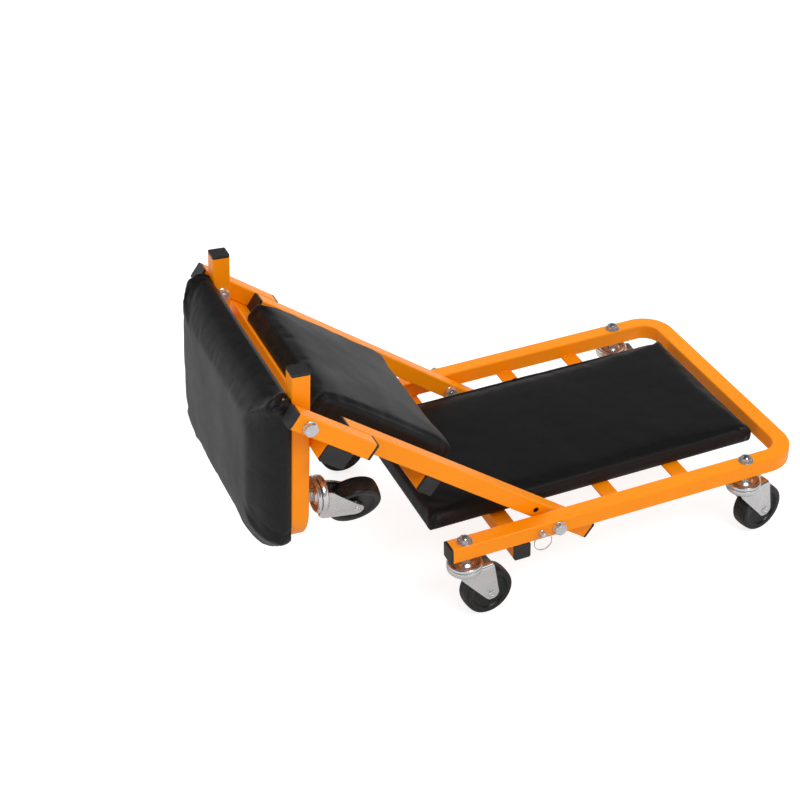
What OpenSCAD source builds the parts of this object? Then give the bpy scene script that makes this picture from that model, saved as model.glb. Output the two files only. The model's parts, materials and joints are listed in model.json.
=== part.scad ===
// Folding creeper stool: a base on four casters, a middle frame hinged to it and a
// headrest frame hinged to the middle frame. It lies flat as a creeper or folds into a
// stool, and it is drawn part-way between the two.
//
// Lengths are in mm, +Z is up and +X runs towards the closed end of the base. The
// origin is on the floor under the middle of the object. Each frame is drawn about its
// own hinge, with its rails along X, and the in_ modules put it in its place.

/* [Tube] */
// Outside width of the square tube that all the frames are made of
tube_w = 25; // [22:1:28]
// Wall of the square tube
tube_wall = 1.5; // [1.2:0.1:2]
// Outside radius of the tube's long edges
tube_edge_r = 2.5; // [2:0.1:3]
// Outside radius of the bends of the base frame
bend_r = 50; // [45:1:60]
// Thickness of the black end caps
cap_t = 4; // [3:0.5:6]

/* [Base] */
// Width of the base over its rails
base_w = 428; // [400:2:460]
// Height of the fold hinge over the floor
hinge_h = 121; // [115:1:130]
// Length of the base from the fold hinge to the open end of its rails
base_open = 161; // [150:1:180]
// Length of the base from the fold hinge to the outside of its closed end
base_closed = 400; // [380:2:440]
// Distance from the fold hinge back to the middle of the base cross tube
base_cross = 56; // [52:1:60]
// Distance from the fold hinge to the middle of the first strap
strap_1 = 107.5; // [105:0.5:120]
// Distance between the middles of the two straps
strap_step = 116; // [90:1:130]
// Width of a strap
strap_w = 25; // [20:1:30]
// Thickness of a strap
strap_t = 3; // [2:0.5:4]

/* [Middle frame] */
// Gap between a base rail and a middle rail
rail_gap = 4.5; // [3:0.5:6]
// Distance from the head hinge back to the end of a middle rail
rail_back = 67.5; // [60:0.5:75]
// Length of a middle rail past the fold hinge
rail_tail = 79.5; // [76:0.5:84]
// Distance from the fold hinge to the head hinge
hinge_span = 444; // [436:1:456]
// Length of a side arm past the head hinge
arm_nose = 23; // [20:1:26]
// Length of the side arms
arm_l = 125; // [115:1:130]
// Distance from the head hinge to the near face of the stop tube
stop_near = 38.8; // [37:0.1:42]
// Width of the stop tube along the rails
stop_w = 40; // [36:1:44]
// Distance from the near end of the middle cushion to the middle of the middle cross tube
cross_back = 41; // [35:1:48]
// Angle of the middle frame over the flat position
fold_angle = 37.5; // [30:0.5:60]

/* [Headrest frame] */
// Gap between a side arm and a headrest leg
leg_gap = 7.5; // [6:0.5:9]
// Length of the headrest frame from the head hinge to its closed end
head_l = 220; // [210:1:235]
// Outside radius of the bends of the headrest frame
head_bend_r = 65; // [50:1:70]
// Length of the headrest legs past the head hinge
head_tail = 56; // [54:0.5:57]

/* [Cushions] */
// Distance from the closed end of the base back to the end of the base cushion
base_pad_back = 36; // [34:1:60]
// Gap between the base cushion and a middle rail when they lie flat
base_pad_side = 20; // [15:0.5:40]
// Distance from the fold hinge back to the end of the base cushion
base_pad_end = 166; // [150:1:168]
// Height of the base cushion at its edge, board included
base_pad_h = 24.5; // [20:0.5:26]
// Extra height in the middle of the base cushion
base_crown = 3; // [1:0.5:6]
// Thickness of the base board
base_board_t = 15; // [12:1:16]
// Distance from the head hinge back to the far end of the middle cushion
middle_pad_back = 40; // [38:1:50]
// Gap between the middle cushion and a middle rail
middle_pad_side = 24; // [15:0.5:40]
// Gap between the base cushion and the middle cushion when they lie flat
pad_gap = 5; // [4:1:16]
// Height of the middle cushion at its edge, board included
middle_pad_h = 33; // [28:1:36]
// Extra height in the middle of the middle cushion
middle_crown = 7; // [3:0.5:9]
// Length of the rolled-down end of the middle cushion
roll_l = 45; // [35:1:55]
// Drop of the rolled-down end of the middle cushion
roll_drop = 8; // [4:1:10]
// Reach of the headrest cushion past the closed end of its frame
head_pad_end = 12; // [0:1:14]
// Length of the thinner end of the headrest cushion
head_roll_l = 95; // [70:5:120]
// Drop of the thinner end of the headrest cushion
head_roll_drop = 20; // [10:1:24]
// Reach of the headrest cushion past the outside of a headrest leg
head_pad_over = 3; // [0:0.5:5]
// Distance from the head hinge to the near end of the headrest cushion
head_pad_near = 25; // [20:1:28]
// Length of the cut corners of the headrest cushion
cut_l = 36; // [28:1:44]
// Width of the cut corners of the headrest cushion
cut_w = 48; // [38:1:56]
// Height of the headrest cushion at its edge, board included
head_pad_h = 29; // [24:1:34]
// Extra height in the middle of the headrest cushion
head_crown = 21; // [10:1:24]
// How flat the headrest cushion's top is: 2 is a dome, more leaves only its shoulders round
head_flat = 8; // [2:1:10]
// Thickness of the middle and headrest boards
board_t = 9; // [8:1:12]
// Corner radius of the cushions
pad_corner_r = 12; // [10:1:16]
// Radius of the cushions' top edges
pad_edge_r = 8; // [6:0.5:10]
// Thickness of a cushion's cover and foam beside its board
wrap_t = 5; // [4:0.5:8]

/* [Casters] */
// Diameter of a wheel
wheel_d = 75; // [70:1:76]
// Width of a wheel's tread
wheel_w = 26; // [22:1:28]
// Distance from a caster's swivel axis to its axle
trail = 33.7; // [30:0.1:36]
// Radius of a caster's ball race
race_r = 25.5; // [23:0.5:28]
// Thickness of a fork's sheet
fork_t = 2.5; // [2:0.1:3]
// Distance from the fold hinge back to the open end's casters
caster_open = 139; // [136:1:142]
// Distance from the closed end of the base back to its casters
caster_back = 90; // [80:1:100]
// Distance from the head hinge to the headrest casters
caster_head = 138; // [136:1:150]
// Angle from +X of the near caster at the open end
swivel_open_near = 6; // [-180:1:180]
// Angle from +X of the far caster at the open end
swivel_open_far = 180; // [-180:1:180]
// Angle from +X of the near caster at the closed end
swivel_closed_near = 12; // [-180:1:180]
// Angle from +X of the far caster at the closed end
swivel_closed_far = -4; // [-180:1:180]
// Angle from +X of the near headrest caster
swivel_head_near = 157; // [90:1:270]
// Angle from +X of the far headrest caster
swivel_head_far = 180; // [90:1:270]

/* [Fasteners and locks] */
// Radius of a hinge bolt's shank
bolt_r = 5; // [4:0.5:6]
// Width across the flats of a hinge bolt's head and nut
bolt_af = 17; // [15:1:19]
// Radius of a caster stem
stem_r = 5; // [4:0.5:6]
// Width across the flats of a caster nut
stem_af = 15; // [14:1:17]
// Radius of a cushion screw's shank
screw_r = 2.5; // [2:0.5:3]
// Radius of a lock pin
pin_r = 4; // [3.5:0.5:4.5]
// Distance from the fold hinge back to the lock pins
lock_x = 27; // [25:0.5:28]
// Radius of a pull ring to the middle of its wire
ring_r = 13.5; // [12:0.5:14]
// Radius of a pull ring's wire
ring_wire_r = 0.95; // [0.8:0.05:1.2]

/* [Hidden] */
$fn = 64;
half = tube_w/2;
corner_steps = 7;

// Clearances: at a turning or sliding fit, between faces that pass each other, at a
// stop, and around a pin in a plain hole
running_gap = 0.05;
face_gap = 0.1;
stop_gap = 0.1;
hole_gap = 0.3;

// Places across the width, out from the middle
base_y = base_w/2 - half;
rail_y = base_y - tube_w - rail_gap;
arm_y = rail_y + tube_w;
leg_y = arm_y - tube_w - leg_gap;

// Widths of the cushions
base_pad_w = 2*(rail_y - half - base_pad_side);
middle_pad_w = 2*(rail_y - half - middle_pad_side);
head_pad_w = 2*(leg_y + half + head_pad_over);
head_pad_l = head_pad_near + head_l + head_pad_end;

// Places along the frames
rail_long = hinge_span - rail_back;
middle_pad_near = base_pad_end + pad_gap;
middle_pad_far = middle_pad_back - hinge_span;
middle_cross = middle_pad_near + cross_back;
caster_closed = base_closed - caster_back;

// Cross members lie under the rails
under_z = -half - half;
arm_end = hinge_span + arm_nose - arm_l;
stop_x = -hinge_span + stop_near + stop_w/2;

// The headrest folds until a leg meets the lower edge of the stop tube
stop_edge = [stop_near + tube_edge_r, -half - tube_w + tube_edge_r];
head_angle = -(90 + acos((half + tube_edge_r + stop_gap)/norm(stop_edge))
    + atan2(stop_edge[1], stop_edge[0]));

// Heights of a caster below the middle of the tube that carries it
stem_nut_h = 8;
top_nut_h = 4;
stem_over = 1;
race_h = 6;
race_top = -half - stem_nut_h;
race_gap = 0.5;
race_low = race_top - race_h;
race_under = race_low - race_gap;
fork_top = race_under - 4;
skirt_low = race_under - 10;
axle_z = wheel_d/2 - hinge_h;
axle_r = 4;
hub_w = wheel_w + 2;
fork_in = hub_w/2 + 0.5;
fork_out = fork_in + fork_t;
leg_end_r = 12;
fork_back = 14;
fork_front = trail + 3;
hip_x = 10;
hip_h = 16;
leg_line = 10;
shoulder_x = 2;
shoulder_h = 6;
axle_head_r = axle_r + 2;
axle_head_h = 2.5;

// Races: the neck over the upper race, its dish and its rolled rim, and the kingpin
neck_r = 11;
dish_z = race_low + 2.5;
rim_w = 5;
rim_h = 4.5;
lip = 1.5;
kingpin_r = 6;
kingpin_head_r = kingpin_r + 2;
kingpin_head_h = 3;

// Wheel: its tread, the step in to its web, and its hub
tread_depth = 8;
tread_chamfer = 3;
tread_round = 1;
tread_crown = 0.3;
web_in = 3;
web_slope = 1;
wheel_hub_r = 11;

// Fasteners
bolt_head_h = 6;
nut_h = 8;
washer_t = 1.6;
bolt_washer_r = bolt_af/2 + 1.5;
nut_flange_r = bolt_af/2 + 1;
spacer_r = bolt_r + 4.5;
top_flange_r = stem_af/2 + 4;
screw_head_r = 5;
screw_head_h = 2.5;

// End caps
plug_l = 12;
plug_slack = 0.2;

// Shares of a cushion's width, and of the headrest's length, at which its screws stand
pad_screw_share = 0.3;
head_screw_shares = [0.32, 0.1];

// Cushion shapes
tuck = 2;
top_steps = 4;
crown_steps = 7;
crown_spread = 1.4;
strap_z = -half + strap_t;

// Lock pins
knob_r = 4.5;
knob_l = 10;
knob_round = 2;
collar_r = 7.5;
collar_t = 2.5;
eye_r = 1.6;
spring_turns = 5;
spring_wire_r = 0.6;

// Colours
orange = [1.0, 0.56, 0.02];
vinyl = [0.12, 0.12, 0.12];
plastic = [0.05, 0.05, 0.05];
zinc = [0.78, 0.78, 0.8];
plywood = [0.72, 0.55, 0.36];
rubber = [0.06, 0.06, 0.06];

// Outlines and profiles

function unit(v) = v/norm(v);
function outward(v) = [v[1], -v[0]];

// Each corner of a counter-clockwise polygon as steps along an arc: its centre and angle
function corner_arcs(corners, r) = [
    for (i = [0:len(corners) - 1])
        let (n = len(corners), here = corners[i],
            n1 = outward(unit(here - corners[(i + n - 1) % n])),
            n2 = outward(unit(corners[(i + 1) % n] - here)),
            centre = here - r*(n1 + n2)/(1 + n1*n2),
            start = atan2(n1[1], n1[0]), turn = acos(min(1, n1*n2)))
        for (k = [0:corner_steps]) [centre, start + turn*k/corner_steps]
];

// The outline moved in by inset, then drawn towards mid by the factor grow
function outline(arcs, r, inset, grow = 1, mid = [0, 0]) = [
    for (a = arcs)
        let (p = a[0] + (r - inset)*[cos(a[1]), sin(a[1])])
        mid + grow*(p - mid)
];

// Steps of a cushion's section from the board's top edge round to the crown: how far in
// from the outline, how far drawn to the middle, and the height
function cushion_section(board, h, edge, crown, flat = 2) = concat(
    [[wrap_t, 1, board], [wrap_t, 1, 0], [tuck, 1, 0], [tuck/4, 1, tuck]],
    [for (k = [0:top_steps])
        let (a = 90*k/top_steps)
        [edge*(1 - cos(a)), 1, h - edge + edge*sin(a)]],
    [for (k = [1:crown_steps - 1])
        let (s = 1 - pow(k/crown_steps, crown_spread))
        [edge, s, h + crown*(1 - pow(s, flat))]]
);

// Height of a point at x on a cushion that falls by drop over a length l to its end; what
// lies over the board falls in proportion to its height
function fallen(x, z, board, top, end, l, drop) =
    z - drop*pow(max(0, (end + l - x)/l), 2)*max(0, z - board)/(top - board);

// A cushion over a board: corners is its plan, flat the shape of its top, end the x of its
// rolled-down end
module cushion(corners, board, h, crown, flat = 2, end = 0, roll_len = 1, drop = 0) {
    arcs = corner_arcs(corners, pad_corner_r);
    mid = [for (axis = [0, 1]) (max([for (c = corners) c[axis]])
        + min([for (c = corners) c[axis]]))/2];
    section = cushion_section(board, h, pad_edge_r, crown, flat);
    n = len(arcs);
    last = len(section) - 1;
    lift = function (x, z) fallen(x, z, board, h + crown, end, roll_len, drop);
    points = concat(
        [for (s = section)
            for (p = outline(arcs, pad_corner_r, s[0], s[1], mid))
            [p[0], p[1], lift(p[0], s[2])]],
        [[mid[0], mid[1], board], [mid[0], mid[1], lift(mid[0], h + crown)]]);
    faces = concat(
        [for (i = [0:n - 1]) [n*(last + 1), i, (i + 1) % n]],
        [for (k = [0:last - 1])
            for (i = [0:n - 1])
            let (j = (i + 1) % n)
            for (f = [[k*n + i, (k + 1)*n + i, (k + 1)*n + j],
                [k*n + i, (k + 1)*n + j, k*n + j]]) f],
        [for (i = [0:n - 1]) [n*(last + 1) + 1, last*n + (i + 1) % n, last*n + i]]);
    polyhedron(points, faces);
}

// The board inside a cushion of the same plan
module board(corners, t, holes) {
    difference() {
        linear_extrude(t)
            polygon(outline(corner_arcs(corners, pad_corner_r), pad_corner_r, wrap_t));
        for (h = holes)
            translate([h[0], h[1], -t/3])
                cylinder(r = screw_r, h = t);
    }
}

function rectangle(x0, x1, w) = [[x1, -w/2], [x1, w/2], [x0, w/2], [x0, -w/2]];

// Square tube

module rounded_square(x, y, r) {
    square([x, y - 2*r], center = true);
    square([x - 2*r, y], center = true);
    for (sx = [-1, 1])
        for (sy = [-1, 1])
            translate([sx*(x/2 - r), sy*(y/2 - r)])
                circle(r);
}

module tube_section(x = tube_w, y = tube_w) {
    difference() {
        rounded_square(x, y, tube_edge_r);
        rounded_square(x - 2*tube_wall, y - 2*tube_wall, tube_edge_r - tube_wall);
    }
}

module tube_x(x0, x1)
    translate([x0, 0, 0])
        rotate([90, 0, 90])
            linear_extrude(x1 - x0)
                tube_section();

module tube_y(w, x = tube_w)
    rotate([90, 0, 0])
        linear_extrude(w, center = true)
            tube_section(x);

// End cap: a plate over the end and a plug inside it, with the tube's end at x = 0
module cap(x = tube_w) {
    outer = 2*(tube_wall + plug_slack);
    inner = outer + 2*tube_wall;
    rotate([90, 0, 90]) {
        linear_extrude(cap_t)
            rounded_square(x, tube_w, tube_edge_r);
        translate([0, 0, -plug_l])
            linear_extrude(plug_l)
                difference() {
                    rounded_square(x - outer, tube_w - outer, tube_edge_r - tube_wall);
                    rounded_square(x - inner, tube_w - inner, tube_edge_r - tube_wall);
                }
    }
}

module tube_caps_y(w, x = tube_w)
    for (turn = [90, -90])
        rotate([0, 0, turn])
            translate([w/2, 0, 0])
                cap(x);

// A tube bent into a U with bends of radius r outside, open at x1 and closed at x0, with
// its legs y out from the middle
module bent_u(x0, x1, y, r) {
    for (side = [-1, 1]) {
        translate([0, side*y, 0])
            tube_x(x0 + r, x1);
        translate([x0 + r, side*(y + half - r), 0])
            rotate([0, 0, side > 0 ? 90 : 180])
                rotate_extrude(angle = 90)
                    translate([r - half, 0])
                        tube_section();
    }
    translate([x0 + half, 0, 0])
        tube_y(2*(y + half - r));
}

module both_sides() {
    children();
    mirror([0, 1, 0])
        children();
}

// Frames

function head_pad_corners() =
    let (far = head_pad_far, near = head_pad_near, w = head_pad_w/2)
    [[near, -w], [near, w], [far + cut_l, w], [far, w - cut_w],
        [far, cut_w - w], [far + cut_l, -w]];

// The leftmost point is on the crown of the hanging headrest
head_world = fold_angle + head_angle;
head_pad_far = head_pad_near - head_pad_l;
crown_reach = max([
    for (s = cushion_section(board_t, head_pad_h, pad_edge_r, head_crown, head_flat))
        for (p = outline(corner_arcs(head_pad_corners(), pad_corner_r), pad_corner_r, s[0],
            s[1], [head_pad_near - head_pad_l/2, 0]))
            let (z = fallen(p[0], s[2], board_t, head_pad_h + head_crown, head_pad_far,
                head_roll_l, head_roll_drop))
            -p[0]*cos(head_world) - (half + z)*sin(head_world)]);
left_end = hinge_span*cos(fold_angle) + crown_reach;
origin_x = (base_closed - left_end)/2;

module in_base()
    translate([-origin_x, 0, hinge_h])
        children();

module in_middle()
    in_base()
        rotate([0, fold_angle, 0])
            children();

module in_head()
    in_middle()
        translate([-hinge_span, 0, 0])
            rotate([0, head_angle, 0])
                children();

// Fasteners, each along +Y with the part it holds ending at y = 0

module along_y()
    rotate([-90, 0, 0])
        children();

module hex(af, h)
    cylinder(d = af/cos(30), h = h, $fn = 6);

// Bolt: washer and hexagon head outside, shank running l inwards
module hinge_bolt(l) {
    along_y() {
        cylinder(r = bolt_washer_r, h = washer_t);
        translate([0, 0, washer_t])
            hex(bolt_af, bolt_head_h);
        translate([0, 0, -l])
            cylinder(r = bolt_r, h = l + washer_t);
    }
}

module hinge_nut()
    along_y()
        translate([0, 0, -nut_h])
            difference() {
                union() {
                    hex(bolt_af, nut_h);
                    translate([0, 0, nut_h - washer_t])
                        cylinder(r = nut_flange_r, h = washer_t);
                }
                translate([0, 0, -1])
                    cylinder(r = bolt_r, h = nut_h + 2);
            }

module spacer(t)
    along_y()
        difference() {
            cylinder(r = spacer_r, h = t);
            translate([0, 0, -1])
                cylinder(r = bolt_r, h = t + 2);
        }

// Cushion screws: a pan head under z = 0 and a shank of length l above it
module cushion_screws(places, l)
    for (p = places)
        translate([p[0], p[1], 0]) {
            translate([0, 0, -screw_head_h])
                cylinder(r1 = screw_head_r - 1, r2 = screw_head_r, h = screw_head_h);
            cylinder(r = screw_r, h = l);
        }

module screw_bores(places)
    for (p = places)
        translate([p[0], p[1], -tube_w])
            cylinder(r = screw_r, h = 2*tube_w);

module bore_y(x, r, y)
    translate([x, y, 0])
        rotate([90, 0, 0])
            cylinder(r = r, h = 2*tube_w, center = true);

module bore_z(x, y, r)
    translate([x, y, 0])
        cylinder(r = r, h = 2*tube_w, center = true);

// Places of the screws in each cushion's board
base_screw_at = [
    for (x = [strap_1, strap_1 + strap_step])
        for (side = [-1, 1]) [x, side*pad_screw_share*base_pad_w]];
middle_screw_at = [
    for (x = [stop_x, -middle_cross])
        for (side = [-1, 1]) [x, side*pad_screw_share*middle_pad_w]];
head_screw_at = [
    for (share = head_screw_shares)
        for (side = [-1, 1]) [-share*head_l, side*leg_y]];

// Base

module base_frame() {
    color(orange) in_base() difference() {
        mirror([1, 0, 0])
            bent_u(-base_closed, base_open, base_y, bend_r);
        for (side = [-1, 1]) {
            bore_y(0, bolt_r, side*base_y);
            bore_y(-lock_x, pin_r + running_gap, side*base_y);
            for (x = [-caster_open, caster_closed])
                bore_z(x, side*base_y, stem_r);
        }
    }
}

module base_end_caps() {
    color(plastic) in_base()
        for (side = [-1, 1])
            translate([-base_open, side*base_y, 0])
                mirror([1, 0, 0])
                    cap();
}

module base_cross_tube() {
    color(orange) in_base()
        translate([-base_cross, 0, under_z])
            tube_y(base_w - 2*cap_t);
}

module base_cross_caps() {
    color(plastic) in_base()
        translate([-base_cross, 0, under_z])
            tube_caps_y(base_w - 2*cap_t);
}

module base_straps() {
    color(orange) in_base() difference() {
        for (x = [strap_1, strap_1 + strap_step])
            translate([x - strap_w/2, half - base_y, -half])
                cube([strap_w, 2*(base_y - half), strap_t]);
        screw_bores(base_screw_at);
    }
}

base_pad_corners = rectangle(-base_pad_end, base_closed - base_pad_back, base_pad_w);

module base_board() {
    color(plywood) in_base()
        translate([0, 0, strap_z])
            board(base_pad_corners, base_board_t, base_screw_at);
}

module base_cushion() {
    color(vinyl) in_base()
        translate([0, 0, strap_z])
            cushion(base_pad_corners, base_board_t, base_pad_h, base_crown);
}

module base_screws() {
    color(zinc) in_base()
        translate([0, 0, -half])
            cushion_screws(base_screw_at, strap_t + base_board_t*2/3);
}

module fold_bolts() {
    color(zinc) in_base() both_sides()
        translate([0, base_y + half, 0])
            hinge_bolt(2*tube_w + rail_gap + nut_h);
}

module fold_nuts() {
    color(zinc) in_base() both_sides()
        translate([0, rail_y - half - face_gap, 0])
            hinge_nut();
}

module fold_washers() {
    color(zinc) in_base() both_sides()
        translate([0, rail_y + half + face_gap, 0])
            spacer(rail_gap - face_gap);
}

// Lock pins: each slides out through a base rail against its spring, and its tip stands
// just clear of the middle rail until the frame lies flat

module lock_pin() {
    tip = rail_y + half + hole_gap;
    inner = base_y - half + tube_wall;
    outer = base_y + half;
    translate([-lock_x, 0, 0]) along_y() difference() {
        union() {
            translate([0, 0, tip])
                cylinder(r = pin_r, h = outer + knob_l/2 - tip);
            translate([0, 0, inner + face_gap])
                cylinder(r = collar_r, h = collar_t);
            translate([0, 0, outer + face_gap])
                rotate_extrude()
                    polygon([[0, 0], [knob_r, 0], [knob_r, knob_l - knob_round],
                        [knob_r - knob_round, knob_l], [0, knob_l]]);
        }
        translate([0, 0, outer + knob_l/2])
            rotate([0, 90, 0])
                cylinder(r = eye_r, h = 4*knob_r, center = true);
    }
}

// Coil spring between the collar and the outer wall of the rail
module lock_spring() {
    y0 = base_y - half + tube_wall + face_gap + collar_t + spring_wire_r + face_gap;
    y1 = base_y + half - tube_wall - spring_wire_r - face_gap;
    steps = 12;
    sides = 6;
    coil_r = (pin_r + collar_r)/2;
    count = spring_turns*steps;
    points = [for (k = [0:count])
        let (a = 360*k/steps, y = y0 + (y1 - y0)*k/count)
        for (s = [0:sides - 1])
            let (b = 360*s/sides, r = coil_r + spring_wire_r*cos(b))
            [r*cos(a) - lock_x, y + spring_wire_r*sin(b), r*sin(a)]];
    faces = concat(
        [[for (s = [0:sides - 1]) s]],
        [for (k = [0:count - 1])
            for (s = [0:sides - 1])
            let (t = (s + 1) % sides)
            for (f = [[k*sides + s, (k + 1)*sides + s, (k + 1)*sides + t],
                [k*sides + s, (k + 1)*sides + t, k*sides + t]]) f],
        [[for (s = [sides - 1:-1:0]) count*sides + s]]);
    polyhedron(points, faces);
}

// Pull ring: it hangs in the eye of its pin
module pull_ring()
    translate([-lock_x, base_y + half + knob_l/2, -sqrt(pow(ring_r, 2) - pow(knob_r, 2)/2)])
        along_y()
            rotate_extrude()
                translate([ring_r, 0])
                    circle(ring_wire_r, $fn = 24);

module near_side()
    mirror([0, 1, 0])
        children();

module lock_pin_near() { color(zinc) in_base() near_side() lock_pin(); }
module lock_pin_far() { color(zinc) in_base() lock_pin(); }
module lock_spring_near() { color(zinc) in_base() near_side() lock_spring(); }
module lock_spring_far() { color(zinc) in_base() lock_spring(); }
module pull_ring_near() { color(zinc) in_base() near_side() pull_ring(); }
module pull_ring_far() { color(zinc) in_base() pull_ring(); }

// Middle frame

module middle_rail()
    difference() {
        translate([0, rail_y, 0])
            tube_x(-rail_long, rail_tail);
        bore_y(0, bolt_r + running_gap, rail_y);
        translate([-lock_x, rail_y + half, 0])
            rotate([90, 0, 0])
                cylinder(r = pin_r + hole_gap, h = tube_w, center = true);
    }

module middle_rail_near() { color(orange) in_middle() near_side() middle_rail(); }
module middle_rail_far() { color(orange) in_middle() middle_rail(); }

module middle_rail_caps() {
    color(plastic) in_middle() both_sides()
        translate([0, rail_y, 0]) {
            translate([rail_tail, 0, 0])
                cap();
            translate([-rail_long, 0, 0])
                mirror([1, 0, 0])
                    cap();
        }
}

module side_arms() {
    color(orange) in_middle() both_sides() difference() {
        translate([0, arm_y, 0])
            tube_x(-hinge_span - arm_nose, -arm_end);
        bore_y(-hinge_span, bolt_r, arm_y);
    }
}

module side_arm_caps() {
    color(plastic) in_middle() both_sides()
        translate([0, arm_y, 0]) {
            translate([-arm_end, 0, 0])
                cap();
            translate([-hinge_span - arm_nose, 0, 0])
                mirror([1, 0, 0])
                    cap();
        }
}

stop_tube_w = 2*(arm_y + half - cap_t);
middle_cross_w = 2*(rail_y + half - cap_t);

module stop_tube() {
    color(orange) in_middle() difference() {
        translate([stop_x, 0, under_z])
            tube_y(stop_tube_w, stop_w);
        translate([0, 0, under_z])
            screw_bores(middle_screw_at);
    }
}

module stop_tube_caps() {
    color(plastic) in_middle()
        translate([stop_x, 0, under_z])
            tube_caps_y(stop_tube_w, stop_w);
}

module middle_cross_tube() {
    color(orange) in_middle() difference() {
        translate([-middle_cross, 0, under_z])
            tube_y(middle_cross_w);
        translate([0, 0, under_z])
            screw_bores(middle_screw_at);
    }
}

module middle_cross_caps() {
    color(plastic) in_middle()
        translate([-middle_cross, 0, under_z])
            tube_caps_y(middle_cross_w);
}

middle_pad_corners = rectangle(middle_pad_far, -middle_pad_near, middle_pad_w);

module middle_board() {
    color(plywood) in_middle()
        translate([0, 0, -half])
            board(middle_pad_corners, board_t, middle_screw_at);
}

module middle_cushion() {
    color(vinyl) in_middle()
        translate([0, 0, -half])
            cushion(middle_pad_corners, board_t, middle_pad_h, middle_crown,
                end = middle_pad_far, roll_len = roll_l, drop = roll_drop);
}

module middle_screws() {
    color(zinc) in_middle()
        translate([0, 0, under_z - half])
            cushion_screws(middle_screw_at, tube_w + board_t*2/3);
}

module head_bolts() {
    color(zinc) in_middle() both_sides()
        translate([-hinge_span, arm_y + half, 0])
            hinge_bolt(2*tube_w + leg_gap + nut_h);
}

module head_nuts() {
    color(zinc) in_middle() both_sides()
        translate([-hinge_span, leg_y - half - face_gap, 0])
            hinge_nut();
}

module head_washers() {
    color(zinc) in_middle() both_sides()
        translate([-hinge_span, leg_y + half + face_gap, 0])
            spacer(leg_gap - face_gap);
}

// Headrest frame

module head_frame() {
    color(orange) in_head() difference() {
        bent_u(-head_l, head_tail, leg_y, head_bend_r);
        for (side = [-1, 1]) {
            bore_y(0, bolt_r + running_gap, side*leg_y);
            bore_z(-caster_head, side*leg_y, stem_r);
        }
        screw_bores(head_screw_at);
    }
}

module head_frame_caps() {
    color(plastic) in_head()
        for (side = [-1, 1])
            translate([head_tail, side*leg_y, 0])
                cap();
}

module head_board() {
    color(plywood) in_head()
        translate([0, 0, half])
            board(head_pad_corners(), board_t, head_screw_at);
}

module head_cushion() {
    color(vinyl) in_head()
        translate([0, 0, half])
            cushion(head_pad_corners(), board_t, head_pad_h, head_crown, head_flat,
                head_pad_far, head_roll_l, head_roll_drop);
}

module head_screws() {
    color(zinc) in_head()
        translate([0, 0, -half])
            cushion_screws(head_screw_at, tube_w + board_t*2/3);
}

// Casters, each drawn about its swivel axis with z = 0 in the middle of its tube

caster_at = [
    ["open_near", -caster_open, -base_y, swivel_open_near],
    ["open_far", -caster_open, base_y, swivel_open_far],
    ["closed_near", caster_closed, -base_y, swivel_closed_near],
    ["closed_far", caster_closed, base_y, swivel_closed_far],
    ["head_near", -caster_head, -leg_y, swivel_head_near],
    ["head_far", -caster_head, leg_y, swivel_head_far]
];

// Puts a fork, axle or wheel on the caster of that name
module on_caster(name)
    for (c = caster_at)
        if (c[0] == name) {
            if (c[1] == -caster_head) {
                in_head()
                    translate([c[1], c[2], 0])
                        rotate([0, 0, c[3]])
                            children();
            } else {
                in_base()
                    translate([c[1], c[2], 0])
                        rotate([0, 0, c[3]])
                            children();
            }
        }

// Threaded stem, dished upper race and kingpin in one turned piece, up to z = top
module caster_stem(top) {
    head_top = skirt_low - face_gap;
    rotate_extrude()
        polygon([[0, top], [stem_r, top], [stem_r, race_top], [neck_r, race_top],
            [neck_r + lip, dish_z], [race_r - rim_w - lip, dish_z],
            [race_r - rim_w, race_low + rim_h], [race_r - lip, race_low + rim_h],
            [race_r, race_low + rim_h - lip], [race_r, race_low],
            [kingpin_r, race_low], [kingpin_r, head_top], [kingpin_head_r, head_top],
            [kingpin_head_r, head_top - kingpin_head_h], [0, head_top - kingpin_head_h]]);
}

module stem_nut(z, h)
    translate([0, 0, z])
        difference() {
            hex(stem_af, h);
            translate([0, 0, -1])
                cylinder(r = stem_r, h = h + 2);
        }

stem_up = half + washer_t + top_nut_h + stem_over;

module base_caster_stems() {
    color(zinc) in_base()
        for (c = caster_at)
            if (c[1] != -caster_head)
                translate([c[1], c[2], 0])
                    caster_stem(stem_up);
}

// A washer and a nut on the tube and a lock nut under it
module base_caster_nuts() {
    color(zinc) in_base()
        for (c = caster_at)
            if (c[1] != -caster_head)
                translate([c[1], c[2], 0]) {
                    stem_nut(half + washer_t, top_nut_h);
                    translate([0, 0, half])
                        difference() {
                            cylinder(r = top_flange_r, h = washer_t);
                            translate([0, 0, -1])
                                cylinder(r = stem_r, h = washer_t + 2);
                        }
                    stem_nut(race_top, stem_nut_h);
                }
}

module head_caster_stems() {
    color(zinc) in_head()
        for (side = [-1, 1])
            translate([-caster_head, side*leg_y, 0])
                caster_stem(half);
}

module head_caster_nuts() {
    color(zinc) in_head()
        for (side = [-1, 1])
            translate([-caster_head, side*leg_y, 0])
                stem_nut(race_top, stem_nut_h);
}

// Side of a fork leg, in x and z about the swivel axis: its front edge runs straight from
// the hip to a line that touches the rounded end
module fork_leg_side() {
    hip = [-hip_x, fork_top - hip_h];
    axle = [trail, axle_z];
    reach = norm(axle - hip);
    away = atan2(hip[1] - axle[1], hip[0] - axle[0]) + acos(leg_line/reach);
    touch = axle + leg_line*[cos(away), sin(away)];
    polygon([[-fork_back, fork_top], [-fork_back, hip[1] + shoulder_h], hip, touch,
        [trail, axle_z - leg_line], [trail + leg_end_r, axle_z],
        [fork_front + shoulder_x, fork_top - shoulder_h], [fork_front, fork_top]]);
    translate([trail + leg_end_r - leg_line, axle_z])
        circle(leg_line);
    translate([trail, axle_z])
        circle(leg_line);
}

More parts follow.
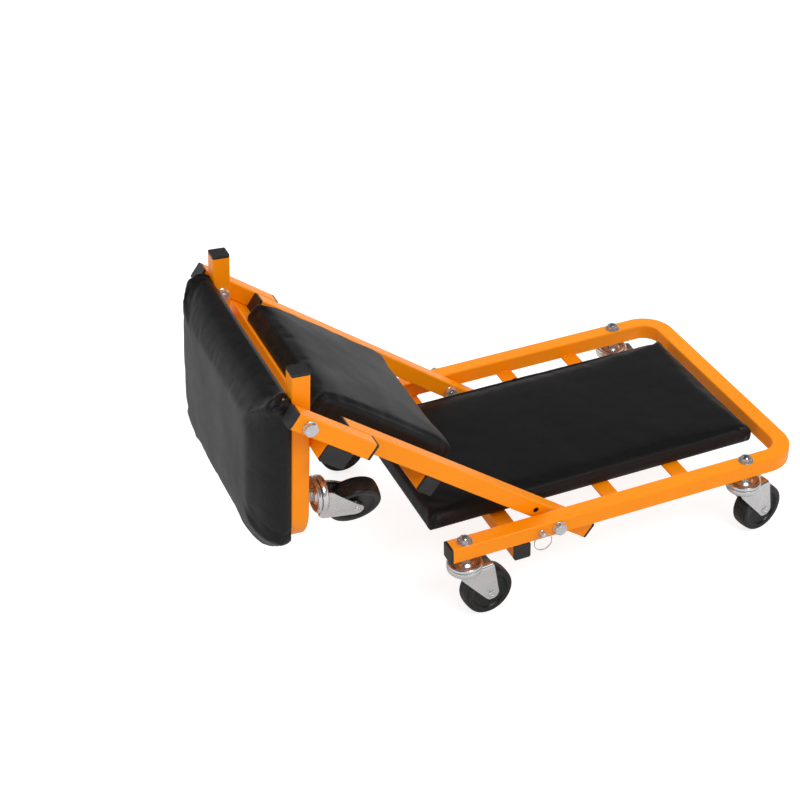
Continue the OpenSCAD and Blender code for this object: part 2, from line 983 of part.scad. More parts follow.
module fork() {
    difference() {
        union() {
            // Lower race
            rotate_extrude()
                polygon([[kingpin_r + running_gap, race_under], [race_r - lip, race_under],
                    [race_r, race_under - lip], [race_r - lip, skirt_low + lip],
                    [race_r - rim_w, skirt_low], [kingpin_r + running_gap, skirt_low]]);
            // Crown plate
            translate([-fork_back, -fork_out, fork_top - fork_t])
                cube([fork_front + fork_back, 2*fork_out, fork_t]);
            for (side = [-1, 1])
                translate([0, side*(fork_in + fork_t/2), 0])
                    rotate([90, 0, 0])
                        linear_extrude(fork_t, center = true)
                            fork_leg_side();
        }
        translate([0, 0, skirt_low - race_h])
            cylinder(r = kingpin_r + running_gap, h = 4*race_h);
        translate([trail, 0, axle_z])
            rotate([90, 0, 0])
                cylinder(r = axle_r, h = 4*fork_out, center = true);
    }
}

module axle()
    translate([trail, 0, axle_z])
        rotate([90, 0, 0]) {
            cylinder(r = axle_r, h = 2*fork_out, center = true);
            for (side = [-1, 1])
                translate([0, 0, side*(fork_out + axle_head_h/2)])
                    cylinder(r = axle_head_r, h = axle_head_h, center = true);
        }

module wheel() {
    r = wheel_d/2;
    w = wheel_w/2;
    rim_r = r - tread_depth;
    side = [[axle_r + running_gap, hub_w/2], [wheel_hub_r, hub_w/2],
        [wheel_hub_r + web_slope, w - web_in], [rim_r - web_slope, w - web_in], [rim_r, w],
        [r - tread_chamfer, w], [r - tread_round, w - tread_chamfer],
        [r - tread_crown, w/2], [r, 0]];
    other = [for (k = [len(side) - 2:-1:0]) [side[k][0], -side[k][1]]];
    translate([trail, 0, axle_z])
        rotate([90, 0, 0])
            rotate_extrude($fn = 128)
                polygon(concat(side, other));
}

module fork_open_near() { color(zinc) on_caster("open_near") fork(); }
module fork_open_far() { color(zinc) on_caster("open_far") fork(); }
module fork_closed_near() { color(zinc) on_caster("closed_near") fork(); }
module fork_closed_far() { color(zinc) on_caster("closed_far") fork(); }
module fork_head_near() { color(zinc) on_caster("head_near") fork(); }
module fork_head_far() { color(zinc) on_caster("head_far") fork(); }
module axle_open_near() { color(zinc) on_caster("open_near") axle(); }
module axle_open_far() { color(zinc) on_caster("open_far") axle(); }
module axle_closed_near() { color(zinc) on_caster("closed_near") axle(); }
module axle_closed_far() { color(zinc) on_caster("closed_far") axle(); }
module axle_head_near() { color(zinc) on_caster("head_near") axle(); }
module axle_head_far() { color(zinc) on_caster("head_far") axle(); }
module wheel_open_near() { color(rubber) on_caster("open_near") wheel(); }
module wheel_open_far() { color(rubber) on_caster("open_far") wheel(); }
module wheel_closed_near() { color(rubber) on_caster("closed_near") wheel(); }
module wheel_closed_far() { color(rubber) on_caster("closed_far") wheel(); }
module wheel_head_near() { color(rubber) on_caster("head_near") wheel(); }
module wheel_head_far() { color(rubber) on_caster("head_far") wheel(); }

base_frame();
base_end_caps();
base_cross_tube();
base_cross_caps();
base_straps();
base_board();
base_cushion();
base_screws();
fold_bolts();
fold_nuts();
fold_washers();
base_caster_stems();
base_caster_nuts();
lock_pin_near();
lock_pin_far();
lock_spring_near();
lock_spring_far();
pull_ring_near();
pull_ring_far();
middle_rail_near();
middle_rail_far();
middle_rail_caps();
side_arms();
side_arm_caps();
stop_tube();
stop_tube_caps();
middle_cross_tube();
middle_cross_caps();
middle_board();
middle_cushion();
middle_screws();
head_bolts();
head_nuts();
head_washers();
head_frame();
head_frame_caps();
head_board();
head_cushion();
head_screws();
head_caster_stems();
head_caster_nuts();
fork_open_near();
fork_open_far();
fork_closed_near();
fork_closed_far();
fork_head_near();
fork_head_far();
axle_open_near();
axle_open_far();
axle_closed_near();
axle_closed_far();
axle_head_near();
axle_head_far();
wheel_open_near();
wheel_open_far();
wheel_closed_near();
wheel_closed_far();
wheel_head_near();
wheel_head_far();
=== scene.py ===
"""Looks of the folding creeper stool: cushions, hardware, casters, welds and materials."""

import json
import math

import bmesh
import bpy
import numpy as np
from mathutils import Matrix, Vector, noise

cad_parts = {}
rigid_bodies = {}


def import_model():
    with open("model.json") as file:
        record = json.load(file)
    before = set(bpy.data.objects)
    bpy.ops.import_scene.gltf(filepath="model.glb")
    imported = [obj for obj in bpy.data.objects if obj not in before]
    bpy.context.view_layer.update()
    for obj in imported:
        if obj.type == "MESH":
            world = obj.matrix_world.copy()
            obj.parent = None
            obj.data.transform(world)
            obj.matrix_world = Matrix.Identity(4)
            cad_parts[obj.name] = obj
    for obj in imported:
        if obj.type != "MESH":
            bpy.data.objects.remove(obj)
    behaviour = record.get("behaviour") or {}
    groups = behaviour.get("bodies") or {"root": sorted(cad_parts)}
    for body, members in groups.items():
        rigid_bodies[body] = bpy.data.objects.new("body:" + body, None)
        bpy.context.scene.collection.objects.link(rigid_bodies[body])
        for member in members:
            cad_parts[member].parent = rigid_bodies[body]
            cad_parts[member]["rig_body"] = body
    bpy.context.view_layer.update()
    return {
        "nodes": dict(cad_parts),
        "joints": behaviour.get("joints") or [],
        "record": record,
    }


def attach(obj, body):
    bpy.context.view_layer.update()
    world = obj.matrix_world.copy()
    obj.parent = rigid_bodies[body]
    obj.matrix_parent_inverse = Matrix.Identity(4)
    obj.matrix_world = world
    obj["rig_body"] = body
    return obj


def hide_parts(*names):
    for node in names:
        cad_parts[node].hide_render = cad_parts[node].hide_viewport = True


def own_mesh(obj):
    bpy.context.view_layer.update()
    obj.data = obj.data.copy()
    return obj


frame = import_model()

# Sizes in mm; places are in the frame of the hinge that the part turns about
MM = 0.001
TUBE = 25.0
HALF = TUBE/2
BASE_Y, RAIL_Y, ARM_Y, LEG_Y = 201.5, 172.0, 197.0, 164.5
CROSS_X, STOP_X, MIDDLE_CROSS_X = -56.0, -385.2, -212.0
STOP_HALF = 20.0
STRAP_X = (107.5, 223.5)
STRAP_Z = -HALF + 3.0
SPAN = 444.0
RAIL_END, ARM_END = 376.5, 342.0
BOLT_AF, BOLT_R, BOLT_HEAD, NUT_H, WASHER_T = 17.0, 5.0, 6.0, 8.0, 1.6
STEM_R, STEM_UP, STEM_AF, TOP_NUT_H, STEM_NUT_H = 5.0, 19.1, 15.0, 4.0, 8.0
RACE_R, RACE_TOP, RACE_LOW, FORK_TOP = 25.5, -20.5, -26.5, -33.0
CROWN_TOP, SKIRT_LOW = -31.0, -37.0
TRAIL, AXLE_Z, AXLE_R, LEG_R = 33.7, -83.5, 4.0, 10.0
FORK_T, FORK_MID, FORK_OUT = 2.5, 15.75, 17.0
WHEEL_R, WHEEL_HALF, HUB_HALF = 37.5, 13.0, 14.0
LOCK_X, KNOB_R, KNOB_L, RING_R, RING_WIRE = 27.0, 4.5, 10.0, 13.5, 0.9
SPRING_IN, SPRING_OUT, SPRING_R, SPRING_WIRE = 193.8, 211.8, 5.75, 0.6
BASE_CASTER_X, HEAD_CASTER_X = (-139, 310), -138
FOLD_GAP, HEAD_GAP, NUT_PLAY = 4.4, 7.4, 0.1
BASE_SCREW_Y, MIDDLE_SCREW_Y, HEAD_SCREW_X = 83.7, 81.3, (-70.4, -22.0)
CAP_EDGE, STRAP_EDGE = 0.9, 0.4
HEM, HEM_Z, HIDDEN_Z, PAD_CORNER = 24.0, -0.15, 2.4, 12.0
WELD_OFF, WELD_LOW, WELD_IN, WELD_OUT, WELD_HALF = 0.6, -HALF - 0.7, 1.5, 4.5, 11.0


def joint(name):
    return next(j for j in frame["joints"] if j["name"] == name)


fold_at = Vector(joint("middle_fold")["pos_m"])
head_at = Vector(joint("head_fold")["pos_m"])
head_up = Vector(joint("swivel_head_near")["axis"])
fold_angle = math.atan2(head_at.z - fold_at.z, fold_at.x - head_at.x)
head_angle = math.atan2(head_up.x, head_up.z)
BASE = Matrix.Translation(fold_at)
MIDDLE = BASE @ Matrix.Rotation(fold_angle, 4, "Y")
HEAD = Matrix.Translation(head_at) @ Matrix.Rotation(head_angle, 4, "Y")
FLIP = Matrix.Scale(-1, 4, (0, 1, 0))
ALONG_Y = Matrix.Rotation(-math.pi/2, 4, "X")
SIDES = (("near", -1), ("far", 1))


def move(x=0.0, y=0.0, z=0.0):
    return Matrix.Translation((x, y, z))


# Materials

class Look:
    """A Principled material and short ways to add nodes to it."""

    def __init__(self, name, **values):
        self.material = bpy.data.materials.new(name)
        self.material.use_nodes = True
        self.tree = self.material.node_tree
        self.shader = self.tree.nodes["Principled BSDF"]
        for key, value in values.items():
            self.shader.inputs[key.replace("_", " ")].default_value = value
        self.coords = self.tree.nodes.new("ShaderNodeTexCoord").outputs["Object"]

    def add(self, kind, links=None, **values):
        """A node with its plain settings, inputs given by name, and links by input name."""
        node = self.tree.nodes.new(kind)
        for key, value in values.items():
            name = key.replace("_", " ")
            if hasattr(node, key):
                setattr(node, key, value)
            else:
                node.inputs[name].default_value = value
        for key, output in (links or {}).items():
            self.tree.links.new(output, node.inputs[key])
        return node

    def noise(self, scale, detail=2.0, roughness=0.5, vector=None):
        links = {"Vector": vector or self.coords}
        return self.add("ShaderNodeTexNoise", links, Scale=scale, Detail=detail,
                        Roughness=roughness).outputs["Fac"]

    def stretched(self, x, y, z):
        node = self.add("ShaderNodeMapping", {"Vector": self.coords})
        node.inputs["Scale"].default_value = (x, y, z)
        return node.outputs["Vector"]

    def ramp(self, fac, stops):
        node = self.add("ShaderNodeValToRGB", {"Fac": fac})
        points = node.color_ramp.elements
        while len(points) < len(stops):
            points.new(0.5)
        for point, (place, colour) in zip(points, stops):
            point.position = place
            point.color = (*colour, 1)
        return node.outputs["Color"]

    def drift(self, scale, detail, dark, light, start=0.3, end=0.7):
        return self.ramp(self.noise(scale, detail), [(start, dark), (end, light)])

    def span(self, fac, low, high, start=0.3, end=0.7):
        node = self.add("ShaderNodeMapRange", {"Value": fac})
        for key, value in (("From Min", start), ("From Max", end), ("To Min", low),
                           ("To Max", high)):
            node.inputs[key].default_value = value
        return node.outputs["Result"]

    def math(self, kind, a, b):
        node = self.add("ShaderNodeMath", operation=kind)
        for socket, value in zip(node.inputs, (a, b)):
            if isinstance(value, bpy.types.NodeSocket):
                self.tree.links.new(value, socket)
            else:
                socket.default_value = value
        return node.outputs["Value"]

    def bump(self, height, strength, distance, normal=None):
        links = {"Height": height}
        if normal:
            links["Normal"] = normal
        return self.add("ShaderNodeBump", links, Strength=strength,
                        Distance=distance).outputs["Normal"]

    def wire(self, **outputs):
        for key, output in outputs.items():
            self.tree.links.new(output, self.shader.inputs[key.replace("_", " ")])
        return self.material


def orange_paint():
    """Gloss powder coat: a slight drift of colour and a fine orange peel."""
    look = Look("orange_paint", Coat_Weight=0.12, Coat_Roughness=0.1, IOR=1.4,
                Specular_IOR_Level=0.25)
    peel = look.noise(420.0, 2.0)
    fine = look.noise(1500.0, 1.0)
    return look.wire(
        Base_Color=look.drift(9.0, 3.0, (0.94, 0.264, 0.001), (0.99, 0.286, 0.002)),
        Roughness=look.span(look.noise(70.0, 3.0), 0.27, 0.36),
        Normal=look.bump(peel, 0.05, 0.0006, look.bump(fine, 0.04, 0.0002)))


def black_vinyl():
    """Upholstery vinyl: leather grain of uneven cells, with a dull sheen that varies."""
    look = Look("black_vinyl", Specular_IOR_Level=0.3, Sheen_Weight=0.02,
                Sheen_Roughness=0.45)
    places = look.add("ShaderNodeVectorMath", {0: look.coords}, operation="ADD")
    shift = look.add("ShaderNodeVectorMath", operation="SCALE")
    look.tree.links.new(look.add("ShaderNodeTexNoise", {"Vector": look.coords}, Scale=300.0,
                                 Detail=2.0).outputs["Color"], shift.inputs[0])
    shift.inputs["Scale"].default_value = 0.0016
    look.tree.links.new(shift.outputs[0], places.inputs[1])
    cells = look.add("ShaderNodeTexVoronoi", {"Vector": places.outputs[0]},
                     feature="DISTANCE_TO_EDGE", Scale=620.0).outputs["Distance"]
    grain = look.span(cells, 0.0, 1.0, 0.0, 0.28)
    creases = look.noise(55.0, 4.0, 0.6)
    dull = look.math("MULTIPLY", look.span(look.noise(14.0, 4.0), 0.9, 1.1),
                     look.span(grain, 0.48, 0.4, 0.0, 1.0))
    soft = look.bump(creases, 0.10, 0.004)
    return look.wire(
        Base_Color=look.drift(260.0, 2.0, (0.0045, 0.0045, 0.0047), (0.007, 0.007, 0.0072),
                              0.35, 0.65),
        Roughness=dull,
        Normal=look.bump(grain, 0.22, 0.0003, soft))


def black_plastic():
    """Moulded end caps: fine eroded texture, a little duller in patches."""
    look = Look("black_plastic", Specular_IOR_Level=0.4)
    return look.wire(
        Base_Color=look.drift(60.0, 3.0, (0.015, 0.015, 0.0155), (0.022, 0.022, 0.0225)),
        Roughness=look.span(look.noise(90.0, 3.0), 0.36, 0.5),
        Normal=look.bump(look.noise(2600.0, 2.0), 0.12, 0.0002))


def zinc():
    """Bright zinc plate on screws, nuts, pins and rings."""
    look = Look("zinc", Metallic=0.82)
    return look.wire(
        Base_Color=look.drift(240.0, 3.0, (0.66, 0.66, 0.69), (0.8, 0.8, 0.81)),
        Roughness=look.span(look.noise(500.0, 3.0), 0.18, 0.34),
        Normal=look.bump(look.noise(1800.0, 2.0), 0.08, 0.0002))


def plated_sheet():
    """Pressed and zinc-plated sheet of the casters, with faint draw marks."""
    look = Look("plated_sheet", Metallic=1.0)
    marks = look.noise(60.0, 4.0, 0.6, look.stretched(1.0, 1.0, 14.0))
    return look.wire(
        Base_Color=look.drift(45.0, 3.0, (0.78, 0.78, 0.80), (0.88, 0.88, 0.89)),
        Roughness=look.span(marks, 0.22, 0.3),
        Normal=look.bump(marks, 0.02, 0.0006))


def wheel_black():
    """Hard black wheel: smooth, a little uneven in colour and gloss."""
    look = Look("wheel_black", Specular_IOR_Level=0.4)
    return look.wire(
        Base_Color=look.drift(120.0, 4.0, (0.008, 0.008, 0.0082), (0.014, 0.014, 0.0142),
                              0.35, 0.75),
        Roughness=look.span(look.noise(80.0, 4.0), 0.22, 0.38),
        Normal=look.bump(look.noise(900.0, 2.0), 0.06, 0.0003))


def plywood():
    """Bare plywood: grain along Y, with fine pores that dull it."""
    look = Look("plywood", Specular_IOR_Level=0.3)
    grain = look.noise(90.0, 6.0, 0.65, look.stretched(1.0, 0.07, 1.0))
    pores = look.noise(700.0, 2.0, 0.5, look.stretched(1.0, 0.04, 1.0))
    height = look.math("ADD", grain, look.math("MULTIPLY", pores, 0.5))
    return look.wire(
        Base_Color=look.ramp(grain, [(0.3, (0.36, 0.22, 0.10)), (0.52, (0.55, 0.38, 0.20)),
                                     (0.75, (0.63, 0.47, 0.28))]),
        Roughness=look.span(pores, 0.62, 0.8),
        Normal=look.bump(height, 0.25, 0.0006))


def spring_steel():
    """Drawn wire of springs and staples."""
    look = Look("spring_steel", Metallic=1.0)
    return look.wire(
        Base_Color=look.drift(400.0, 2.0, (0.42, 0.42, 0.42), (0.58, 0.58, 0.58)),
        Roughness=look.span(look.noise(700.0, 2.0), 0.25, 0.4))


LOOKS = {"orange_paint": orange_paint(), "black_vinyl": black_vinyl(),
         "black_plastic": black_plastic(), "zinc": zinc(), "plywood": plywood(),
         "wheel_black": wheel_black(), "spring_steel": spring_steel()}
SHEET = plated_sheet()


def dress_cad():
    """Every CAD node gets the material of its slot in the record."""
    for part in frame["record"]["subparts"]:
        materials = frame["nodes"][part["node"]].data.materials
        materials.clear()
        materials.append(LOOKS[part["material_slot"]])


# Solids, as lists of points in mm and faces

class Shape:
    """Several closed solids gathered into one mesh."""

    def __init__(self):
        self.points, self.faces = [], []

    def add(self, solid, at=None):
        points, faces = solid
        first = len(self.points)
        at = at or Matrix()
        self.points += [at @ Vector(p) for p in points]
        self.faces += [[first + i for i in face] for face in faces]
        return self


def lathe(profile, steps=48, closed=False):
    """A profile of (radius, height) turned about Z; closed joins its ends into a ring."""
    points, faces, rows = [], [], []
    for radius, height in profile:
        if radius < 1e-6:
            rows.append([len(points)]*steps)
            points.append((0.0, 0.0, height))
            continue
        rows.append([len(points) + k for k in range(steps)])
        points += [(radius*math.cos(2*math.pi*k/steps), radius*math.sin(2*math.pi*k/steps),
                    height) for k in range(steps)]
    pairs = list(zip(rows, rows[1:] + rows[:1])) if closed else list(zip(rows, rows[1:]))
    for low, high in pairs:
        for k in range(steps):
            n = (k + 1) % steps
            face = list(dict.fromkeys((low[k], low[n], high[n], high[k])))
            if len(face) > 2:
                faces.append(face)
    return points, faces


def swept(path, radius, sides):
    """A round wire along a path; radius is a number or a function of the point's index."""
    count = len(path)
    size = radius if callable(radius) else lambda i: radius
    points, faces = [], []
    side = None
    for i, here in enumerate(path):
        here = Vector(here)
        before = Vector(path[max(i - 1, 0)])
        after = Vector(path[min(i + 1, count - 1)])
        along = (after - before).normalized()
        if side is None:
            side = along.orthogonal().normalized()
        side = (side - along*side.dot(along)).normalized()
        other = along.cross(side)
        for k in range(sides):
            turn = 2*math.pi*k/sides
            points.append(here + size(i)*(math.cos(turn)*side + math.sin(turn)*other))
    for i in range(count - 1):
        for k in range(sides):
            a, b = i*sides, (i + 1)*sides
            n = (k + 1) % sides
            faces.append([a + k, a + n, b + n, b + k])
    faces += [list(range(sides))[::-1], list(range((count - 1)*sides, count*sides))]
    return points, faces


def hexagon(flats, height, hole, chamfer):
    """A nut or bolt head on z = 0 with chamfered corners, and its bore or a plain top."""
    steps = 48
    touch = flats/2*1.01
    slope = math.tan(math.radians(32))
    radii = [flats/2/math.cos((2*math.pi*k/steps + math.pi/6) % (math.pi/3) - math.pi/6)
             for k in range(steps)]
    drop = [max(0.0, (r - touch)*slope) for r in radii]
    rows = []
    for where, cut in ((0.0, chamfer[0]), (height, chamfer[1])):
        sign = 1 if where == 0.0 else -1
        flat = [(min(r, touch) if cut else r, where) for r in radii]
        rim = [(r, where + (sign*d if cut else 0.0)) for r, d in zip(radii, drop)]
        rows += [flat, rim] if where == 0.0 else [rim, flat]
    rows = [[(hole, 0.0)]*steps] + rows + [[(hole, height)]*steps]
    points = [(r*math.cos(2*math.pi*k/steps), r*math.sin(2*math.pi*k/steps), z)
              for row in rows for k, (r, z) in enumerate(row)]
    faces = []
    count = len(rows)
    for i in range(count if hole else count - 1):
        for k in range(steps):
            n = (k + 1) % steps
            a, b = i*steps, (i + 1) % count*steps
            faces.append([a + k, a + n, b + n, b + k])
    return points, faces


def sheet(grid, thickness):
    """A closed sheet of metal whose middle follows a grid of rows of points."""
    rows, cols = len(grid), len(grid[0])
    points = [[], []]
    for i in range(rows):
        for j in range(cols):
            down = Vector(grid[min(i + 1, rows - 1)][j]) - Vector(grid[max(i - 1, 0)][j])
            across = Vector(grid[i][min(j + 1, cols - 1)]) - Vector(grid[i][max(j - 1, 0)])
            normal = down.cross(across).normalized()
            for layer, sign in enumerate((-1, 1)):
                points[layer].append(Vector(grid[i][j]) + sign*thickness/2*normal)
    total = rows*cols
    faces = []
    for i in range(rows - 1):
        for j in range(cols - 1):
            a = i*cols + j
            faces.append([a, a + 1, a + cols + 1, a + cols])
            faces.append([total + v for v in (a, a + cols, a + cols + 1, a + 1)])
    rim = (list(range(cols)) + [i*cols + cols - 1 for i in range(1, rows)]
           + [(rows - 1)*cols + j for j in range(cols - 2, -1, -1)]
           + [i*cols for i in range(rows - 2, 0, -1)])
    for a, b in zip(rim, rim[1:] + rim[:1]):
        faces.append([b, a, total + a, total + b])
    return points[0] + points[1], faces


def piece(name, shape, at, body, slot, *nodes, material=None, sharp=32):
    """A mesh piece from a shape in mm, put in place and tied to its body."""
    mesh = bpy.data.meshes.new(name)
    mesh.from_pydata([p*MM for p in map(Vector, shape.points)], [], shape.faces)
    mesh.transform(at)
    work = bmesh.new()
    work.from_mesh(mesh)
    bmesh.ops.remove_doubles(work, verts=work.verts, dist=1e-7)
    bmesh.ops.recalc_face_normals(work, faces=work.faces)
    work.to_mesh(mesh)
    work.free()
    mesh.shade_smooth()
    mesh.set_sharp_from_angle(angle=math.radians(sharp))
    mesh.materials.append(material or LOOKS[slot])
    obj = bpy.data.objects.new(name, mesh)
    bpy.context.scene.collection.objects.link(obj)
    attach(obj, body)
    if nodes:
        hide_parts(*nodes)
    return obj


def soften(node, width):
    """The CAD node's own form with its sharp edges rounded."""
    source = frame["nodes"][node]
    mesh = source.data.copy()
    mesh.name = node + "_rounded"
    work = bmesh.new()
    work.from_mesh(mesh)
    bmesh.ops.remove_doubles(work, verts=work.verts, dist=2e-6)
    bmesh.ops.dissolve_limit(work, angle_limit=math.radians(0.5), verts=work.verts,
                             edges=work.edges)
    work.to_mesh(mesh)
    work.free()
    mesh.shade_smooth()
    mesh.set_sharp_from_angle(angle=math.radians(32))
    obj = bpy.data.objects.new(node + "_rounded", mesh)
    bpy.context.scene.collection.objects.link(obj)
    modifier = obj.modifiers.new("bevel", "BEVEL")
    modifier.width = width*MM
    modifier.segments = 2
    modifier.limit_method = "ANGLE"
    modifier.angle_limit = math.radians(40)
    modifier.harden_normals = True
    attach(obj, source["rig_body"])
    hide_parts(node)


# Cushions

def box_plan(x0, x1, width):
    return [(x1, -width/2), (x1, width/2), (x0, width/2), (x0, -width/2)]


def cut_plan(far, near, width, cut_x, cut_y):
    half = width/2
    return [(near, -half), (near, half), (far + cut_x, half), (far, half - cut_y),
            (far, cut_y - half), (far + cut_x, -half)]


# What each cushion is made from, in mm, with z = 0 under its board: the plan, heights and
# rounding of the foam, the cloth's pressure and limit, the rolled end as (x, length, drop),
# folds as points with a width and depth, bulges, and the spans of x without staples
CUSHIONS = {
    "base": {
        "at": BASE @ move(z=STRAP_Z*MM), "body": "base", "plan": box_plan(-166, 364, 279),
        "corner": 7.0, "height": 24.5, "crown": 3.0, "board": 15.0, "edge": 8.0, "voxel": 4.5,
        "swell": 2.2, "pressure": 3.0, "slack": -0.012, "wave": 0.5,
        "pleats": [((x, s*139.5, 3), (x - d*2, s*139, 19), (x - d*16, s*127, 26), 3.4, 2.2)
                   for x, d in ((-157, -1), (355, 1)) for s in (-1, 1)],
        "creases": [((-150, -104, 26), (-118, -125, 24), 7.0, 0.8),
                    ((-128, -98, 26), (-96, -126, 24), 8.0, 0.7),
                    ((-146, 106, 26), (-120, 125, 24), 7.0, 0.8)]
                   + [((100, s*133, 25), (x, s*133, 25), 2.6, -1.7)
                      for x in (-156, 354) for s in (-1, 1)],
        "bulges": [], "free": [(-73, -40), (90, 126), (206, 242)],
    },
    "middle": {
        "at": MIDDLE @ move(z=-HALF*MM), "body": "middle",
        "plan": box_plan(-405, -170, 271), "corner": 7.0,
        "height": 34.0, "crown": 7.0, "board": 9.0, "edge": 5.0, "voxel": 4.0,
        "swell": 3.2, "pressure": 4.0, "slack": -0.012, "wave": 0.7,
        "roll": (-405.0, 45.0, 8.0),
        "pleats": [((-397, s*134.5, 8), (-396, s*134, 27), (-384, s*124, 34.5), 4.2, 3.0)
                   for s in (-1, 1)]
                  + [((-179, s*134.5, 8), (-180, s*134, 26), (-190, s*124, 34), 3.6, 1.8)
                     for s in (-1, 1)],
        "creases": [((-392, s*126, 36), (-182, s*126, 37), 4.0, 1.2) for s in (-1, 1)],
        "bulges": [((-290, s*136, 26), 60.0, 1.6) for s in (-1, 1)],
        "free": [(-404, -364), (-226, -198)],
    },
    "head": {
        "at": HEAD @ move(z=HALF*MM), "body": "headrest",
        "plan": cut_plan(-235, 25, 362, 36, 48), "round": (12.0, 2.0, 45.0, 2.2),
        "height": 29.0, "crown": 21.0, "board": 9.0, "voxel": 4.0,
        "swell": 4.0, "pressure": 4.0, "slack": -0.006, "wave": 0.5,
        "roll": (-235.0, 95.0, 8.0),
        "pleats": [((27, s*167, 5), (27, s*170, 13), (26, s*175, 20), (22, s*178, 27),
                    (12, s*181, 31), 3.2, 7.5) for s in (-1, 1)]
                  + [((-183, s*180, 3), (-182, s*179, 20), (-168, s*163, 34), 3.4, 1.8)
                     for s in (-1, 1)]
                  + [((-223, s*139, 3), (-220, s*137, 16), (-204, s*128, 26), 3.4, 1.8)
                     for s in (-1, 1)],
        "creases": [((14, s*158, 34), (-28, s*116, 48), 8.0, 1.0) for s in (-1, 1)]
                   + [((22, s*150, 30), (2, s*128, 42), 5.0, 1.2) for s in (-1, 1)],
        "bulges": [((24, s*178, 24), 15.0, 3.5) for s in (-1, 1)]
                  + [((-110, s*60, 48), 48.0, 1.2) for s in (-1, 1)],
        "free": [],
    },
}


def rounded(plan, radius, inset):
    """The plan's outline with round corners, moved in by inset."""
    points, steps = [], 6
    count = len(plan)
    for i, here in enumerate(plan):
        here = Vector(here)
        into = (here - Vector(plan[i - 1])).normalized()
        out = (Vector(plan[(i + 1) % count]) - here).normalized()
        n1, n2 = Vector((into.y, -into.x)), Vector((out.y, -out.x))
        centre = here - radius*(n1 + n2)/(1 + n1.dot(n2))
        start = math.atan2(n1.y, n1.x)
        turn = math.acos(max(-1.0, min(1.0, n1.dot(n2))))
        for k in range(steps + 1):
            a = start + turn*k/steps
            points.append(centre + (radius - inset)*Vector((math.cos(a), math.sin(a))))
    return points


def inset_of(points, plan):
    """How far each point lies inside the plan's straight sides."""
    depth = np.full(len(points), 1e9)
    for a, b in zip(plan, plan[1:] + plan[:1]):
        along = (Vector(b) - Vector(a)).normalized()
        inward = np.array((-along.y, along.x))
        depth = np.minimum(depth, (points[:, :2] - np.array(a)) @ inward)
    return depth


def round_side(form, radius, half, side, top):
    """Rings of a side that bulges and rounds over widely; past the corners' radius the
    outline shrinks towards the middle."""
    low, bulge, reach, power = form
    rings, steps, limit = [], 14, 0.9*radius
    for k in range(steps + 1):
        a = math.radians(90*k/steps)
        inset = side - bulge + (reach + bulge)*(1 - math.cos(a)**(2/power))
        height = low + (top - low)*math.sin(a)**(2/power)
        past = max(0.0, inset - limit)
        rings.append((inset - past, 1 - past/(half - limit), height))
    share = rings[-1][1]
    return rings + [(rings[-1][0], share*k/5, top) for k in (4, 3, 2, 1)]


def cushion_start(data):
    """The foam's closed form, smaller than the finished cushion by what the cover swells."""
    plan, swell = data["plan"], data["swell"]
    radius, side = data.get("corner", PAD_CORNER), 0.45*swell
    top = data["height"] - 0.35*swell
    middle = Vector(((plan[0][0] + plan[len(plan)//2][0])/2, 0.0))
    rings = [(side + 2.0, 1.0, 0.0), (side + 0.5, 1.0, 1.2), (side, 1.0, 3.0)]
    rise = data["crown"] - 0.65*swell
    if "round" in data:
        rings += round_side(data["round"], radius, plan[1][1], side, top + rise)
    else:
        edge = data["edge"]
        rings += [(side + edge*(1 - math.cos(a)), 1.0, top - edge + edge*math.sin(a))
                  for a in (math.radians(15*k) for k in range(7))]
        shares = [1 - (k/12)**1.4 for k in range(1, 12)]
        rings += [(side + edge, share, top + rise*(1 - share**2)) for share in shares]
    points, faces = [], []
    for inset, share, height in rings:
        points += [(*(middle + share*(p - middle)), height)
                   for p in rounded(plan, radius, inset)]
    count = len(rounded(plan, radius, 0.0))
    points += [(*middle, 0.0), (*middle, top + rise)]
    last = (len(rings) - 1)*count
    for k in range(count):
        n = (k + 1) % count
        faces.append([len(points) - 2, n, k])
        faces += [[r*count + k, r*count + n, (r + 1)*count + n, (r + 1)*count + k]
                  for r in range(len(rings) - 1)]
        faces.append([last + k, last + n, len(points) - 1])
    return points, faces


def evaluated(obj):
    graph = bpy.context.evaluated_depsgraph_get()
    return bpy.data.meshes.new_from_object(obj.evaluated_get(graph))


def coordinates(mesh):
    flat = np.empty(len(mesh.vertices)*3, np.float32)
    mesh.vertices.foreach_get("co", flat)
    return flat.reshape(-1, 3).astype(float)


def swell_cover(obj, data):
    """Cloth under pressure, held round the board; returns the swollen points in metres."""
    scene, frames = bpy.context.scene, 20
    start = coordinates(obj.data)
    group = obj.vertex_groups.new(name="board")
    group.add([i for i, p in enumerate(start) if p[2] < data["board"]*MM], 1.0, "REPLACE")
    cloth = obj.modifiers.new("cloth", "CLOTH")
    rules = cloth.settings
    rules.quality = 6
    rules.mass = 0.3
    rules.tension_stiffness = rules.compression_stiffness = 18
    rules.shear_stiffness = 6
    rules.bending_stiffness = 0.4
    rules.use_pressure = True
    rules.uniform_pressure_force = data["pressure"]
    rules.shrink_min = data["slack"]
    rules.effector_weights.gravity = 0
    rules.vertex_group_mass = "board"
    cloth.point_cache.frame_start, cloth.point_cache.frame_end = 1, frames
    for step in range(1, frames + 1):
        scene.frame_set(step)
    shaped = evaluated(obj)
    end = coordinates(shaped)
    obj.modifiers.remove(cloth)
    bpy.data.meshes.remove(shaped)
    scene.frame_set(1)
    shift = end - start
    far = np.linalg.norm(shift, axis=1, keepdims=True) + 1e-12
    most = data["swell"]*MM
    return start + shift/far*most*np.tanh(far/most)


def line_shares(points, a, b):
    """For each point the nearest share along a line from a to b, and the distance."""
    share = np.clip((points - a) @ (b - a)/((b - a) @ (b - a)), 0, 1)
    return share, np.linalg.norm(points - a - share[:, None]*(b - a), axis=1)


